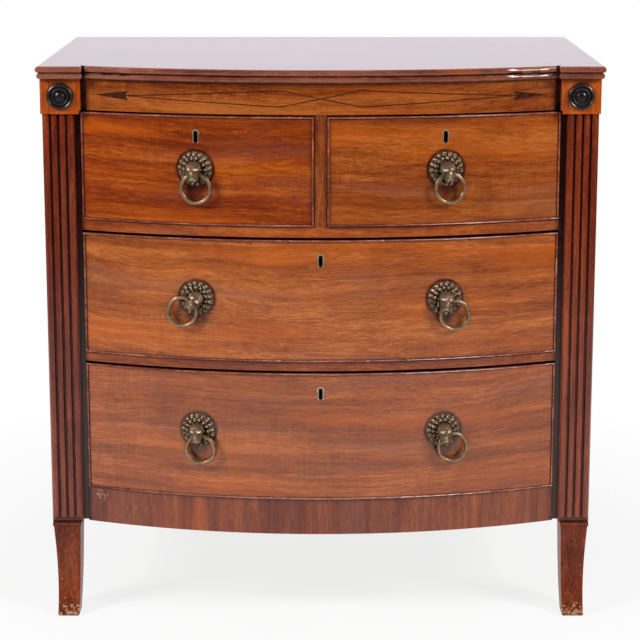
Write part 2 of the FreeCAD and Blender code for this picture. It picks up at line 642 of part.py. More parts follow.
def drawer(name, left, right, z0, z1, gap_over, pull):
    """One drawer: its nodes by name, and the room that its bolt needs in the piece above."""
    x0, x1 = left + GAP_SIDE, right - GAP_SIDE
    front_z0, front_z1 = z0 + GAP_UNDER, z1 - gap_over
    middle = (x0 + x1) / 2
    board = bowed(x0, x1, front_z0, front_z1, 0.0, thickness=FRONT_THICKNESS)
    t = BEAD_THICKNESS
    beads = [cockbead(x0, x1, front_z1 - t, front_z1, False), cockbead(x0, x1, front_z0, front_z0 + t, False),
             cockbead(x0, x0 + t, front_z0 + t, front_z1 - t, True),
             cockbead(x1 - t, x1, front_z0 + t, front_z1 - t, True)]

    # sides and back
    side_z0, side_z1 = z0 + RUN_CLEARANCE, front_z1 - DRAWER_SIDE_DROP
    y_back = BACK_INNER - DRAWER_BACK_GAP
    bottom_z0 = side_z0 + DRAWER_BOTTOM_RAISE
    bottom_z1 = bottom_z0 + DRAWER_BOTTOM_THICKNESS
    inner_left, inner_right = x0 + DRAWER_SIDE_THICKNESS, x1 - DRAWER_SIDE_THICKNESS
    panel_x0, panel_x1 = inner_left - GROOVE_DEPTH, inner_right + GROOVE_DEPTH
    panel = bowed(panel_x0, panel_x1, bottom_z0, bottom_z1, GROOVE_DEPTH - FRONT_THICKNESS, y_back=y_back)
    sides, all_tails = [], []
    for side_x0 in (x0, x1 - DRAWER_SIDE_THICKNESS):
        side_x1 = side_x0 + DRAWER_SIDE_THICKNESS
        root = min(bow_y(side_x0, -FRONT_THICKNESS), bow_y(side_x1, -FRONT_THICKNESS))
        reach = max(bow_y(side_x0, -FRONT_THICKNESS), bow_y(side_x1, -FRONT_THICKNESS)) + PAST
        plank = block(side_x0, side_x1, root, y_back, side_z0, side_z1).cut(board)
        joint = tails(side_x0, side_x1, root - TAIL_LENGTH, reach, max(side_z0, front_z0) + TAIL_LOW_MARGIN,
                      side_z1 - TAIL_HIGH_MARGIN)
        all_tails += joint
        sides.append(fused([plank] + joint).cut(panel))
    back = block(inner_left, inner_right, y_back - DRAWER_BACK_THICKNESS, y_back, bottom_z1, side_z1)

    # lock
    case_x, case_y, case_z = LOCK_CASE
    inner_y = bow_y(middle, -FRONT_THICKNESS)
    case_back = inner_y + case_y - LOCK_LET_IN
    case = block(middle - case_x / 2, middle + case_x / 2, case_back - case_y, case_back,
                 front_z1 - case_z, front_z1)
    bolt_x, bolt_y, bolt_z = BOLT_SIZE
    bolt_y0 = case_back - case_y / 2 - bolt_y / 2
    bolt_z1 = front_z1 - BOLT_SUNK
    bolt = block(middle - bolt_x / 2, middle + bolt_x / 2, bolt_y0, bolt_y0 + bolt_y,
                 bolt_z1 - bolt_z, bolt_z1)
    c = BOLT_CLEARANCE
    bolt_room = block(middle - bolt_x / 2 - c, middle + bolt_x / 2 + c, bolt_y0 - c, bolt_y0 + bolt_y + c,
                      bolt_z1 - bolt_z - c, front_z1 + PAST)
    key_z = front_z1 - KEY_DROP
    face_y = bow_y(middle)
    through = keyhole(KEY_HOLE_RADIUS, KEY_SLOT_WIDTH / 2, KEY_SLOT_LENGTH, middle, face_y - PAST,
                      case_back - case_y / 2, key_z)
    plate = keyhole(ESCUTCHEON_RADIUS, ESCUTCHEON_FOOT_WIDTH / 2, ESCUTCHEON_DROP, middle,
                    face_y - ESCUTCHEON_PROUD, face_y + ESCUTCHEON_THICKNESS, key_z)
    plate.rotate(V(middle, face_y, 0), Z_AXIS, math.degrees(math.asin(middle / BOW_RADIUS)))
    board = board.cut(Part.makeCompound(beads + all_tails + [panel, case, plate, through]))
    nodes = {
        "front_" + name: [board],
        "cockbeads_" + name: beads,
        "box_" + name: sides + [back],
        "bottom_" + name: [panel],
        "lock_" + name: [case.cut(Part.makeCompound([bolt_room, through])), plate.cut(through)],
        "bolt_" + name: [bolt],
    }
    strike = block(middle - bolt_x / 2 - c, middle + bolt_x / 2 + c, bolt_y0 - c, bolt_y0 + bolt_y + c,
                   front_z1, front_z1 + BOLT_TRAVEL + PAST)
    masks = []
    for side, turn in PULL_TURNS[name].items():
        x, z = side * PULL_X, (z0 + z1) / 2 + PULL_RISES[name]
        side_name = name if len(PULL_TURNS[name]) == 1 else name + ("_left" if side < 0 else "_right")
        mask, nut, post, ring = (placed(piece, x, z, turn) for piece in pull)
        nodes["front_" + name] = [nodes["front_" + name][0].cut(post)]
        masks += [mask, nut]
        nodes["ring_" + side_name] = [ring]
        tell_pull(side_name, x, z, turn)
    nodes["masks_" + name] = masks
    return nodes, strike


# ---- pulls, modelled facing -Y around the rosette's middle --------------------------------------
def placed(shape, x, z, turn):
    """A pull's piece set on the bowed front at x and z, square to the surface, turned on its post."""
    piece = shape.copy()
    piece.rotate(V(0, 0, 0), Y_AXIS, -turn)
    piece.rotate(V(0, 0, 0), Z_AXIS, math.degrees(math.asin(x / BOW_RADIUS)))
    piece.translate(V(x, bow_y(x), z))
    return piece


def tell_pull(name, x, z, turn):
    """Prints the ring's hinge line, for whoever hangs the ring on it."""
    points = [Part.Vertex(V(end, -MOUTH_STAND_OFF, -MOUTH_DROP)) for end in (0, 1)]
    start, end = (placed(point, x, z, turn).Point for point in points)
    along = end - start
    print("hinge ring_%s at %.4f %.4f %.4f along %.6f %.6f %.6f" % (name, *start, *along))


def ellipsoid(centre, rx, ry, rz):
    """An ellipsoid, from a stretched sphere."""
    stretch = FreeCAD.Matrix()
    stretch.scale(rx, ry, rz)
    solid = Part.makeSphere(1.0).transformGeometry(stretch)
    solid.translate(centre)
    return solid


def pull_post():
    """The threaded post behind the rosette."""
    length = FRONT_THICKNESS + NUT_THICKNESS + POST_BEYOND_NUT
    return Part.makeCylinder(POST_RADIUS, length, V(0, 0, 0), Y_AXIS)


def pull_nut():
    """The round nut inside the drawer."""
    seat = FRONT_THICKNESS + NUT_SEAT
    nut = Part.makeCylinder(NUT_RADIUS, NUT_THICKNESS, V(0, seat, 0), Y_AXIS)
    return nut.cut(Part.makeCylinder(POST_RADIUS, NUT_THICKNESS, V(0, seat, 0), Y_AXIS))


def mouth():
    """Flared hole through the muzzle, clear of the ring at every angle of its swing."""
    half = MUZZLE_HALF_WIDTH + MOUTH_FLARE
    waist = RING_WIRE_RADIUS + MOUTH_CLEARANCE
    end = waist + RING_RADIUS - math.sqrt(RING_RADIUS ** 2 - half ** 2)
    arc = Part.Arc(V(-half, end, 0), V(0, waist, 0), V(half, end, 0)).toShape()
    lines = Part.makePolygon([V(half, end, 0), V(half, 0, 0), V(-half, 0, 0), V(-half, end, 0)]).Edges
    hole = Part.Face(Part.Wire([arc] + lines)).revolve(V(0, 0, 0), X_AXIS, 360)
    hole.translate(V(0, -MOUTH_STAND_OFF, -MOUTH_DROP))
    return hole


def mask_casting():
    """Lion mask: a rosette with a mane of curls, a face and a muzzle, and the post behind."""
    rim = Part.makeCylinder(ROSETTE_RADIUS, ROSETTE_RIM, V(0, -ROSETTE_RIM, 0), Y_AXIS)
    dome_radius = ROSETTE_RADIUS - ROSETTE_FLAT
    dome = ellipsoid(V(0, 0, 0), dome_radius, ROSETTE_DOME, dome_radius)
    face = ellipsoid(V(0, -FACE_STAND_OFF, FACE_RISE), FACE_RADIUS, FACE_DEPTH, FACE_RADIUS)
    muzzle = ellipsoid(V(0, (MUZZLE_ROOT - MUZZLE_REACH) / 2, -MOUTH_DROP), MUZZLE_HALF_WIDTH,
                       (MUZZLE_REACH + MUZZLE_ROOT) / 2, MUZZLE_HALF_HEIGHT)
    curls = []
    for i in range(CURL_COUNT):
        angle = 2 * math.pi * i / CURL_COUNT
        centre = V(CURL_CIRCLE * math.sin(angle), -CURL_STAND_OFF, CURL_CIRCLE * math.cos(angle))
        curls.append(ellipsoid(centre, CURL_RADIUS, CURL_DEPTH, CURL_RADIUS))
    reach = 2 * ROSETTE_RADIUS
    behind = block(-reach, reach, 0, reach, -reach, reach)
    body = fused([rim, dome, face, muzzle] + curls).cut(behind)
    return fused([body, pull_post()]).cut(mouth())


def pull_ring():
    """The ring, hanging in the mouth."""
    centre = V(0, -MOUTH_STAND_OFF, -MOUTH_DROP - RING_RADIUS)
    return Part.makeTorus(RING_RADIUS, RING_WIRE_RADIUS, centre, Y_AXIS)


# ---- the whole chest ----------------------------------------------------------------------------
def chest():
    """Every node's solids, by name."""
    strikes, nodes = [], {}
    half = MUNTIN_WIDTH / 2
    pull = (mask_casting(), pull_nut(), pull_post(), pull_ring())
    for name, left, right, z0, z1, gap_over in [
            (SHORT_LEFT, -OPENING_HALF, -half, Z_SHORT, Z_FRIEZE, GAP_OVER_SHORT),
            (SHORT_RIGHT, half, OPENING_HALF, Z_SHORT, Z_FRIEZE, GAP_OVER_SHORT),
            (LONG_UPPER, -OPENING_HALF, OPENING_HALF, Z_MID, Z_TOP_RAIL, GAP_OVER_LONG),
            (LONG_LOWER, -OPENING_HALF, OPENING_HALF, Z_APRON, Z_LOW_RAIL, GAP_OVER_LONG)]:
        drawer_nodes, strike = drawer(name, left, right, z0, z1, gap_over, pull)
        nodes.update(drawer_nodes)
        strikes.append(strike)
    cuts = Part.makeCompound(strikes)

    boards = [housed_board(Z_SHORT, DUSTBOARD_THICKNESS), housed_board(Z_MID, DUSTBOARD_THICKNESS),
              bottom_board()]
    side = side_panel(boards)
    tenons = rail_tenons(Z_LOW_RAIL, Z_MID) + rail_tenons(Z_TOP_RAIL, Z_SHORT)
    post = pilaster().cut(Part.makeCompound(tenons + [leg_tenon()]))
    stringing = inlay()
    disc = roundel()
    block_left = corner_block().cut(disc)
    back_tenons = Part.makeCompound([back_tenon(), mirrored(back_tenon())])
    leg = front_leg()
    nodes.update({
        "top": [top()],
        "frieze": [frieze_board().cut(stringing).cut(cuts)],
        "frieze_inlay": stringing.Solids,
        "corner_block_left": [block_left],
        "corner_block_right": [mirrored(block_left)],
        "roundels": [disc, mirrored(disc)],
        "pilaster_left": [post],
        "pilaster_right": [mirrored(post)],
        "front_leg_left": [leg],
        "front_leg_right": [mirrored(leg)],
        "back_legs": [back_leg(), mirrored(back_leg())],
        "side_left": [side],
        "side_right": [mirrored(side)],
        "rail_upper": [rail(Z_TOP_RAIL, Z_SHORT).cut(cuts)],
        "rail_lower": [rail(Z_LOW_RAIL, Z_MID).cut(cuts)],
        "apron": [apron()],
        "muntin": [muntin()],
        "dustboard_upper": [boards[0]],
        "dustboard_lower": [boards[1]],
        "bottom_board": [boards[2]],
        "back_boards": back_boards(),
        "top_frame": top_frame(),
        "drawer_guides": drawer_guides(),
        "drawer_stops": drawer_stops(),
        "glue_blocks": [piece.cut(back_tenons) for piece in glue_blocks()],
    })
    return nodes


def main():
    os.makedirs("parts", exist_ok=True)
    nodes = chest()
    for name, solids in nodes.items():
        whole = [solid for piece in solids for solid in piece.Solids]
        shape = whole[0] if len(whole) == 1 else Part.makeCompound(whole)
        if not shape.isValid():
            print("not valid:", name)
        shape.exportStep("parts/%s.step" % name)
        box = shape.BoundBox
        print("%-28s %2d solids  x %8.1f %8.1f  y %8.1f %8.1f  z %7.1f %7.1f" % (
            name, len(whole), box.XMin, box.XMax, box.YMin, box.YMax, box.ZMin, box.ZMax))
    print(len(nodes), "nodes")


main()
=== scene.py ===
# %% [markdown]
# # A bow front chest of drawers
# The chest is a carcass of pine and mahogany with four drawers, reeded front posts, sabre legs, a line of
# ebony stringing and six cast lion masks that hold ring pulls. Its boards come in as a ready frame at their
# real size, because their joints have to fit. What is made here is what the hand and eye meet: the polished
# wood, the old brass, and the castings, which are too soft in shape to be built from blocks.

# %% Load the frame
import json
import math
import bmesh
import bpy
import numpy as np
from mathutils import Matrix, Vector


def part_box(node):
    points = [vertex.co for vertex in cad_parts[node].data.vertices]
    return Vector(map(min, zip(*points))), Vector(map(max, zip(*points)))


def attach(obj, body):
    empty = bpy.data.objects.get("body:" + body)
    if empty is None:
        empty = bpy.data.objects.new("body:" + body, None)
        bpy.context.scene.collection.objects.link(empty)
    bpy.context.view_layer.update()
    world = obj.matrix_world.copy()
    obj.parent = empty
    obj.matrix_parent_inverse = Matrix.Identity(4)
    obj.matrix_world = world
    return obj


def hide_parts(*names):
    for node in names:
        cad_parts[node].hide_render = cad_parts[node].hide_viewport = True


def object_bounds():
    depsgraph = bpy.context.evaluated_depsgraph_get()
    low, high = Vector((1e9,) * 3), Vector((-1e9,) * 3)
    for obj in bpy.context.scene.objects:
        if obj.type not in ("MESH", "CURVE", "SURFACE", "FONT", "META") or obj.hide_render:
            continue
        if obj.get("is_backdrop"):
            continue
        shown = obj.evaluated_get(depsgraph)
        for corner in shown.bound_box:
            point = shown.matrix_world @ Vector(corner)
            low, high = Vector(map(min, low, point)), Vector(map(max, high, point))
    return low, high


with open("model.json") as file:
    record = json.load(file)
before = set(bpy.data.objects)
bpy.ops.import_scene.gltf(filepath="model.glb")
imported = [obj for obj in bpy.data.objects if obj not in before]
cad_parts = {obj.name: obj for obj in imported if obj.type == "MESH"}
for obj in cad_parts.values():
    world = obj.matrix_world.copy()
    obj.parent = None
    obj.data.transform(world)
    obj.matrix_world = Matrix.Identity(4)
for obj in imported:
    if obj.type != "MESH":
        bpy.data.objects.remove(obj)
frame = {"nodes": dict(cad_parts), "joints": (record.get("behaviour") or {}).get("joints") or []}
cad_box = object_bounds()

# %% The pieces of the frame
nodes = frame["nodes"]
print("the chest measures", [round(high - low, 3) for low, high in zip(*cad_box)], "m")

# %% [markdown]
# ## Where the viewer stands
# A long lens from more than three metres away keeps the uprights nearly parallel, as they look from across
# a large room. The camera looks down a little, so that the polished top shows as a thin bright band. The
# frame is moved down by a tenth, because tilting the camera that far would make the posts lean together.

# %% Camera
TO_BOW = 3.354                    # from the eye to the bowed edge of the top
OVER_TOP = 0.350                  # from the top up to the eye
EYE = (0.0, cad_box[0][1] - TO_BOW, cad_box[1][2] + OVER_TOP)
LOOK_DOWN = math.radians(11.24)
SENSOR, LENS = 36.0, 112.85       # both in millimetres
SHIFT_ASIDE, SHIFT_UP = -0.001, -0.10
viewer = bpy.data.cameras.new("viewer")
viewer.sensor_width, viewer.lens = SENSOR, LENS
viewer.shift_x, viewer.shift_y = SHIFT_ASIDE, SHIFT_UP
camera = bpy.data.objects.new("viewer", viewer)
camera.location = EYE
camera.rotation_euler = (math.radians(90) - LOOK_DOWN, 0, 0)
bpy.context.scene.collection.objects.link(camera)
bpy.context.scene.camera = camera
print("the eye is at", [round(value, 3) for value in EYE], "m")

# %% [markdown]
# ## Small helpers for shader nodes
# A finish is a graph of nodes. These helpers place one node, fill or link its inputs, and hand back the
# output, so that a material below reads as a recipe instead of a page of wiring.


# %% Colour
def rgb(red, green, blue):
    """A colour written as a screen shows it, 0 to 255, turned into the linear light that shaders use."""
    def linear(value):
        share = value / 255
        return share / 12.92 if share <= 0.04045 else ((share + 0.055) / 1.055) ** 2.4
    return (linear(red), linear(green), linear(blue), 1.0)


# %% Node helpers
def fill(tree, socket, value):
    """Links a socket to an output, or writes a plain value into it."""
    if isinstance(value, bpy.types.NodeSocket):
        tree.links.new(value, socket)
    else:
        socket.default_value = value


def place(tree, kind, inputs=None, **settings):
    """Adds one node, with its settings and inputs."""
    node = tree.nodes.new("ShaderNode" + kind)
    for name, value in settings.items():
        setattr(node, name, value)
    for key, value in (inputs or {}).items():
        fill(tree, node.inputs[key], value)
    return node


def maths(tree, operation, *values, clamp=False):
    """One step of arithmetic on values that change over the surface."""
    return place(tree, "Math", dict(enumerate(values)), operation=operation, use_clamp=clamp).outputs[0]


def blend(tree, share, first, second):
    """A mix of two colours: the first where the share is zero, the second where it is one."""
    return place(tree, "Mix", {0: share, 6: first, 7: second}, data_type="RGBA").outputs[2]


# %% Values over the surface
def remap(tree, value, low, high, new_low=0.0, new_high=1.0):
    """A value eased from one range to another."""
    inputs = {0: value, 1: low, 2: high, 3: new_low, 4: new_high}
    return place(tree, "MapRange", inputs, interpolation_type="SMOOTHSTEP").outputs[0]


def noise(tree, vector, stretch, detail=3.0, rough=0.5, shift=(0.0, 0.0, 0.0)):
    """Cloudy noise; stretch says how many times it repeats in a metre along each axis."""
    mapping = place(tree, "Mapping", {"Vector": vector, "Scale": stretch, "Location": shift})
    inputs = {"Vector": mapping.outputs[0], "Scale": 1.0, "Detail": detail, "Roughness": rough}
    return place(tree, "TexNoise", inputs).outputs[0]


# %% Groups and materials
def new_group(name, sockets_in, sockets_out):
    """An empty node group with named inputs and outputs; returns the group, its inputs and its outlet."""
    group = bpy.data.node_groups.new(name, "ShaderNodeTree")
    for label, (kind, value) in sockets_in.items():
        socket = group.interface.new_socket(label, in_out="INPUT", socket_type="NodeSocket" + kind)
        if value is not None:
            socket.default_value = value
    for label, kind in sockets_out.items():
        group.interface.new_socket(label, in_out="OUTPUT", socket_type="NodeSocket" + kind)
    return group, group.nodes.new("NodeGroupInput").outputs, group.nodes.new("NodeGroupOutput").inputs


def use(tree, group, inputs):
    """Places a node group, fills its inputs and returns its outputs."""
    node = tree.nodes.new("ShaderNodeGroup")
    node.node_tree = group
    for key, value in inputs.items():
        fill(tree, node.inputs[key], value)
    return node.outputs


def new_material(name, roughness=0.4, **sockets):
    """A material with its Principled shader; sockets are constants on the shader itself."""
    material = bpy.data.materials.new(name)
    material.use_nodes = True
    tree = material.node_tree
    shader = tree.nodes["Principled BSDF"]
    shader.inputs["Roughness"].default_value = roughness
    for label, value in sockets.items():
        shader.inputs[label.replace("_", " ")].default_value = value
    return material, tree, shader


def object_place(tree, turn=(0.0, 0.0, 0.0), squeeze=(1.0, 1.0, 1.0)):
    """The place on the object, turned so that the grain of the piece runs along the pattern's X. A squeeze
    near zero makes the pattern ignore that direction of the object."""
    where = tree.nodes.new("ShaderNodeTexCoord").outputs["Object"]
    return place(tree, "Mapping", {"Vector": where, "Rotation": turn, "Scale": squeeze}).outputs[0]


# %% [markdown]
# ## Mahogany
# Mahogany has long soft streaks along the grain, fine fibres between them, short dark pores, and a ripple
# across the grain that cabinet makers call fiddleback. Polish sinks into it unevenly, so that wide patches
# turn warmer, and here and there a worm has left a small dark hole. All but the holes are noises stretched
# by different amounts. One group adds them up, because every board is cut from the same sort of log.


# %% Figure patterns
def winding(group, moved):
    """The place on the board pushed aside by slow noise, so that the streaks wander."""
    wander = noise(group, moved, (1.5, 2.8, 2.8), detail=2.0)
    sway = maths(group, "MULTIPLY", maths(group, "SUBTRACT", wander, 0.5), 0.11)
    offset = place(group, "CombineXYZ", {1: sway, 2: sway}).outputs[0]
    return place(group, "VectorMath", {0: moved, 1: offset}, operation="ADD").outputs[0]


def fiddleback(group, moved):
    """Slow curtains across the board, with close ribs in some patches."""
    curtain = noise(group, moved, (16.0, 7.0, 7.0), detail=1.0, rough=0.5)
    ribs = noise(group, moved, (210.0, 28.0, 28.0), detail=1.0, rough=0.5)
    ribbed_patch = remap(group, noise(group, moved, (5.0, 11.0, 11.0)), 0.50, 0.62)
    ribbed = maths(group, "MULTIPLY", maths(group, "SUBTRACT", ribs, 0.5), ribbed_patch)
    return maths(group, "ADD", maths(group, "MULTIPLY", ribbed, 1.1), curtain)


def worm_holes(group, moved):
    """Small round holes: the middles of some cells of a cell pattern, where the surface cuts them."""
    cells = place(group, "TexVoronoi", {"Vector": moved, "Scale": 17.0})
    lone = place(group, "SeparateColor", {0: cells.outputs["Color"]}).outputs[0]
    middle = remap(group, cells.outputs["Distance"], 0.022, 0.012)
    return maths(group, "MULTIPLY", middle, remap(group, lone, 0.62, 0.64))


# %% Figure colours
GLOW = rgb(200, 92, 10)           # where the polish has soaked in
REFLECTION_HAZE = rgb(128, 80, 66)           # painted reflection: a pale mauve haze of light on the polish
WORM_HOLE = rgb(30, 12, 8)


def wood_colour(group, given, level, wavy):
    """The level picks a colour between deep, middle and pale. Warm patches glow, and cool ones get a pale mauve
    haze that is a painted reflection.
    """
    colour = blend(group, remap(group, level, 0.16, 0.54), given["Deep"], given["Middle"])
    colour = blend(group, remap(group, level, 0.46, 0.84), colour, given["Pale"])
    warm = noise(group, wavy, (2.0, 15.0, 15.0), detail=4.0, rough=0.6, shift=(4.0, 4.0, 4.0))
    glowing = maths(group, "MULTIPLY", remap(group, warm, 0.50, 0.72), given["Glowing"])
    colour = blend(group, glowing, colour, GLOW)
    reflection_haze = maths(group, "MULTIPLY", remap(group, warm, 0.48, 0.30), given["Reflection haze"])
    return blend(group, reflection_haze, colour, REFLECTION_HAZE)


# %% Mahogany figure group
def mahogany_figure():
    """Colour, roughness and relief of mahogany. The level that picks the colour is a half, plus the sum of
    the patterns, each first centred on zero and then multiplied by its share."""
    group, given, out = new_group("mahogany figure", {
        "Vector": ("Vector", None), "Seed": ("Vector", None),
        "Deep": ("Color", None), "Middle": ("Color", None), "Pale": ("Color", None),
        "Streak": ("Float", 1.1), "Ripple": ("Float", 0.5), "Glowing": ("Float", 0.45), "Reflection haze": ("Float", 0.4),
    }, {"Colour": "Color", "Roughness": "Float", "Height": "Float"})
    moved = place(group, "VectorMath", {0: given["Vector"], 1: given["Seed"]}, operation="ADD").outputs[0]
    wavy = winding(group, moved)
    band = remap(group, noise(group, wavy, (1.6, 27.0, 27.0), detail=3.0, rough=0.55), 0.32, 0.68)
    streak = noise(group, wavy, (2.2, 100.0, 100.0), detail=5.0, rough=0.6)
    fibre = noise(group, wavy, (17.0, 420.0, 420.0), detail=3.0, rough=0.65)
    blotch = noise(group, moved, (1.4, 8.0, 8.0), detail=2.0, rough=0.5)
    flecks = noise(group, wavy, (60.0, 560.0, 560.0), detail=2.0, rough=0.6)

    level = 0.5
    for pattern, share in ((band, 0.304), (streak, maths(group, "MULTIPLY", given["Streak"], 0.72)),
                           (fiddleback(group, moved), maths(group, "MULTIPLY", given["Ripple"], 0.5)),
                           (blotch, 0.24), (fibre, 0.66), (flecks, 0.78)):
        swing = maths(group, "MULTIPLY", maths(group, "SUBTRACT", pattern, 0.5), share)
        level = maths(group, "ADD", level, swing)
    colour = wood_colour(group, given, level, wavy)

    pores = remap(group, noise(group, wavy, (85.0, 1900.0, 1900.0), detail=1.0), 0.60, 0.72)
    colour = blend(group, maths(group, "MULTIPLY", pores, 0.35), colour, given["Deep"])
    group.links.new(blend(group, worm_holes(group, moved), colour, WORM_HOLE), out["Colour"])
    rough = maths(group, "ADD", maths(group, "MULTIPLY", blotch, 0.22), maths(group, "MULTIPLY", fibre, 0.10))
    group.links.new(rough, out["Roughness"])
    relief = maths(group, "SUBTRACT", maths(group, "MULTIPLY", fibre, 0.4), pores)
    group.links.new(relief, out["Height"])
    return group


figure_group = mahogany_figure()
print("mahogany figure:", len(figure_group.nodes), "nodes")

# %% [markdown]
# ## Two centuries of use, with painted shade and highlight
# Dark wax and dust collect wherever two surfaces meet, and there the colour is darkened further as painted
# shade. Hands and brooms rub the polish from the edges, and the paler edges are partly a painted highlight.
# The first is a question of how open a point is to its surroundings. The second asks how far a slightly
# rounded surface would turn away from the real one, which is only near an edge.


# %% Groups for grime with painted shade, and for wear with painted highlight
def grime_and_shade():
    """A mask of old deposits and painted shade: it grows as the surface gets less open, and noise breaks it up.
    """
    group, given, out = new_group("grime_and_shade", {
        "Vector": ("Vector", None), "Reach": ("Float", 0.012), "Amount": ("Float", 1.0)}, {"Mask": "Float"})
    openness = place(group, "AmbientOcclusion", {"Distance": given["Reach"]}, samples=8).outputs["AO"]
    patchy = remap(group, noise(group, given["Vector"], (38.0, 38.0, 38.0)), 0.3, 0.7, 0.65, 1.15)
    closed = remap(group, openness, 0.95, 0.35)
    mask = maths(group, "MULTIPLY", closed, patchy)
    group.links.new(maths(group, "MULTIPLY", mask, given["Amount"], clamp=True), out["Mask"])
    return group


def edge_wear_and_sheen():
    """A mask of rubbed edges, partly a painted highlight along them: how far the normal of a rounded surface
    leaves the real one, broken up.
    """
    group, given, out = new_group("edge sheen and wear", {
        "Vector": ("Vector", None), "Radius": ("Float", 0.0015), "Amount": ("Float", 1.0)}, {"Mask": "Float"})
    rounded = place(group, "Bevel", {"Radius": given["Radius"]}, samples=6).outputs[0]
    real = group.nodes.new("ShaderNodeNewGeometry").outputs["Normal"]
    same = place(group, "VectorMath", {0: rounded, 1: real}, operation="DOT_PRODUCT").outputs["Value"]
    turned = remap(group, same, 0.98, 0.75)
    patchy = remap(group, noise(group, given["Vector"], (55.0, 55.0, 55.0), detail=4.0), 0.38, 0.62)
    mask = maths(group, "MULTIPLY", turned, patchy)
    group.links.new(maths(group, "MULTIPLY", mask, given["Amount"], clamp=True), out["Mask"])
    return group


grime_and_shade_group, wear_and_sheen_group = grime_and_shade(), edge_wear_and_sheen()
print("grime:", len(grime_and_shade_group.nodes), "nodes; edge sheen and wear:", len(wear_and_sheen_group.nodes), "nodes")

# %% [markdown]
# ## Polished boards
# French polish is shellac rubbed into a thin clear film over the wood. The film is the coat of the shader,
# and the wood under it stays a little rougher. The same recipe serves every board; only the colours, the
# direction of the grain, the strength of each pattern and the state of the film change. A veneer that is
# bent round the bow was a flat sheet once, so its pattern is nearly blind to the direction from front to
# back.

# %% Grain directions
ALONG_X = (0.0, 0.0, 0.0)
ALONG_Y = (0.0, 0.0, math.radians(-90))
ALONG_Z = (0.0, math.radians(90), 0.0)
FLAT = (1.0, 1.0, 1.0)
BENT = (1.0, 0.04, 1.0)           # veneer bent round the bow


# %% Polished mahogany
SEED_STEPS = (1.7, 0.9, 1.3)      # metres from one board's place in the log to the next, along each axis
# The colour of the corners: old wax, darkened further as painted shade.
OLD_WAX_AND_SHADE = rgb(26, 9, 5)
DRY_WOOD = rgb(186, 140, 104)


def polished(name, deep, middle, pale, grain=ALONG_X, seed=0.0, squeeze=FLAT, streak=1.1, ripple=0.5,
             glowing=0.45, reflection_haze=0.4, gloss=0.14, film=1.0, soot_and_shade=0.9, wear_and_sheen=0.4, dirt_and_shade=OLD_WAX_AND_SHADE, marks=None):
    """Mahogany under shellac, darkened in its corners by old deposits and painted shade, and with rubbed edges
    that are partly a painted highlight. marks is a function of the tree and the place on the board that returns
    a mask of bare, chipped wood."""
    material, tree, shader = new_material(name, Coat_Weight=film, Coat_Roughness=gloss, Specular_IOR_Level=0.06)
    where = object_place(tree, grain, squeeze)
    wood = use(tree, figure_group, {"Vector": where, "Seed": tuple(seed * step for step in SEED_STEPS),
                                    "Deep": deep, "Middle": middle, "Pale": pale, "Streak": streak,
                                    "Ripple": ripple, "Glowing": glowing, "Reflection haze": reflection_haze})
    # Darker corners: painted shade together with old wax.
    wax_and_shade = use(tree, grime_and_shade_group, {"Vector": where, "Amount": soot_and_shade})["Mask"]
    # Paler edges: rubbed wood, and partly a painted highlight.
    rub_and_sheen = use(tree, wear_and_sheen_group, {"Vector": where, "Amount": wear_and_sheen})["Mask"]
    colour = blend(tree, rub_and_sheen, wood["Colour"], pale)
    colour = blend(tree, wax_and_shade, colour, dirt_and_shade)
    if marks:
        colour = blend(tree, marks(tree, object_place(tree)), colour, DRY_WOOD)
    fill(tree, shader.inputs["Base Color"], colour)
    rough = maths(tree, "ADD", maths(tree, "ADD", wood["Roughness"], 0.24), maths(tree, "MULTIPLY", wax_and_shade, 0.3))
    fill(tree, shader.inputs["Roughness"], rough)
    bump = place(tree, "Bump", {"Strength": 0.2, "Distance": 0.0003, "Height": wood["Height"]})
    fill(tree, shader.inputs["Normal"], bump.outputs[0])
    return material


def finish(names, material):
    """Gives a material to the pieces with those names."""
    for name in names:
        slots = nodes[name].data.materials
        slots.clear()
        slots.append(material)
    print(material.name, "on", ", ".join(names))


# %% [markdown]
# ## Drawer fronts
# The four fronts were veneered from different leaves of the log. The left short one is the reddest, the
# long ones are paler and the lowest is the coolest, partly in the veneer and partly by a painted reflection.
# So each gets its own three colours, its own share of glow and its own share of mauve haze, which is a
# painted reflection.

# %% Drawer fronts
DRAWERS = ("short_left", "short_right", "long_upper", "long_lower")
veneers = {
    "short_left": polished("veneer of the left short drawer", rgb(104, 36, 6), rgb(144, 58, 6),
                           rgb(186, 94, 16), seed=1.0, glowing=0.55, reflection_haze=0.2, squeeze=BENT),
    "short_right": polished("veneer of the right short drawer", rgb(112, 47, 14), rgb(148, 72, 23),
                            rgb(184, 102, 40), seed=2.3, squeeze=BENT),
    "long_upper": polished("veneer of the upper long drawer", rgb(118, 54, 20), rgb(154, 78, 29),
                           rgb(190, 108, 48), seed=3.1, glowing=0.5, reflection_haze=0.55, squeeze=BENT),
    "long_lower": polished("veneer of the lower long drawer", rgb(114, 54, 26), rgb(149, 75, 35),
                           rgb(182, 100, 52), seed=4.6, glowing=0.35, reflection_haze=0.6, squeeze=BENT),
}
for drawer, veneer in veneers.items():
    finish(["front_" + drawer], veneer)

# %% [markdown]
# Feet get kicked and brooms knock the lower edges. There the polish has chipped off in small flakes that
# show dry pale wood.


# %% Chips
CHIPS_UP_TO = 0.045
APRON_KNOCK = (-0.392, -0.237, 0.220)
KNOCK_REACH = 0.028


def toe_chips(tree, where):
    """Flakes near the floor, thinning out upwards."""
    height = place(tree, "SeparateXYZ", {0: where}).outputs["Z"]
    flakes = noise(tree, where, (170.0, 170.0, 170.0), detail=4.0, rough=0.65)
    low = remap(tree, height, CHIPS_UP_TO, 0.0, 0.0, 0.16)
    return maths(tree, "MULTIPLY", remap(tree, maths(tree, "ADD", flakes, low), 0.64, 0.70), 0.8)


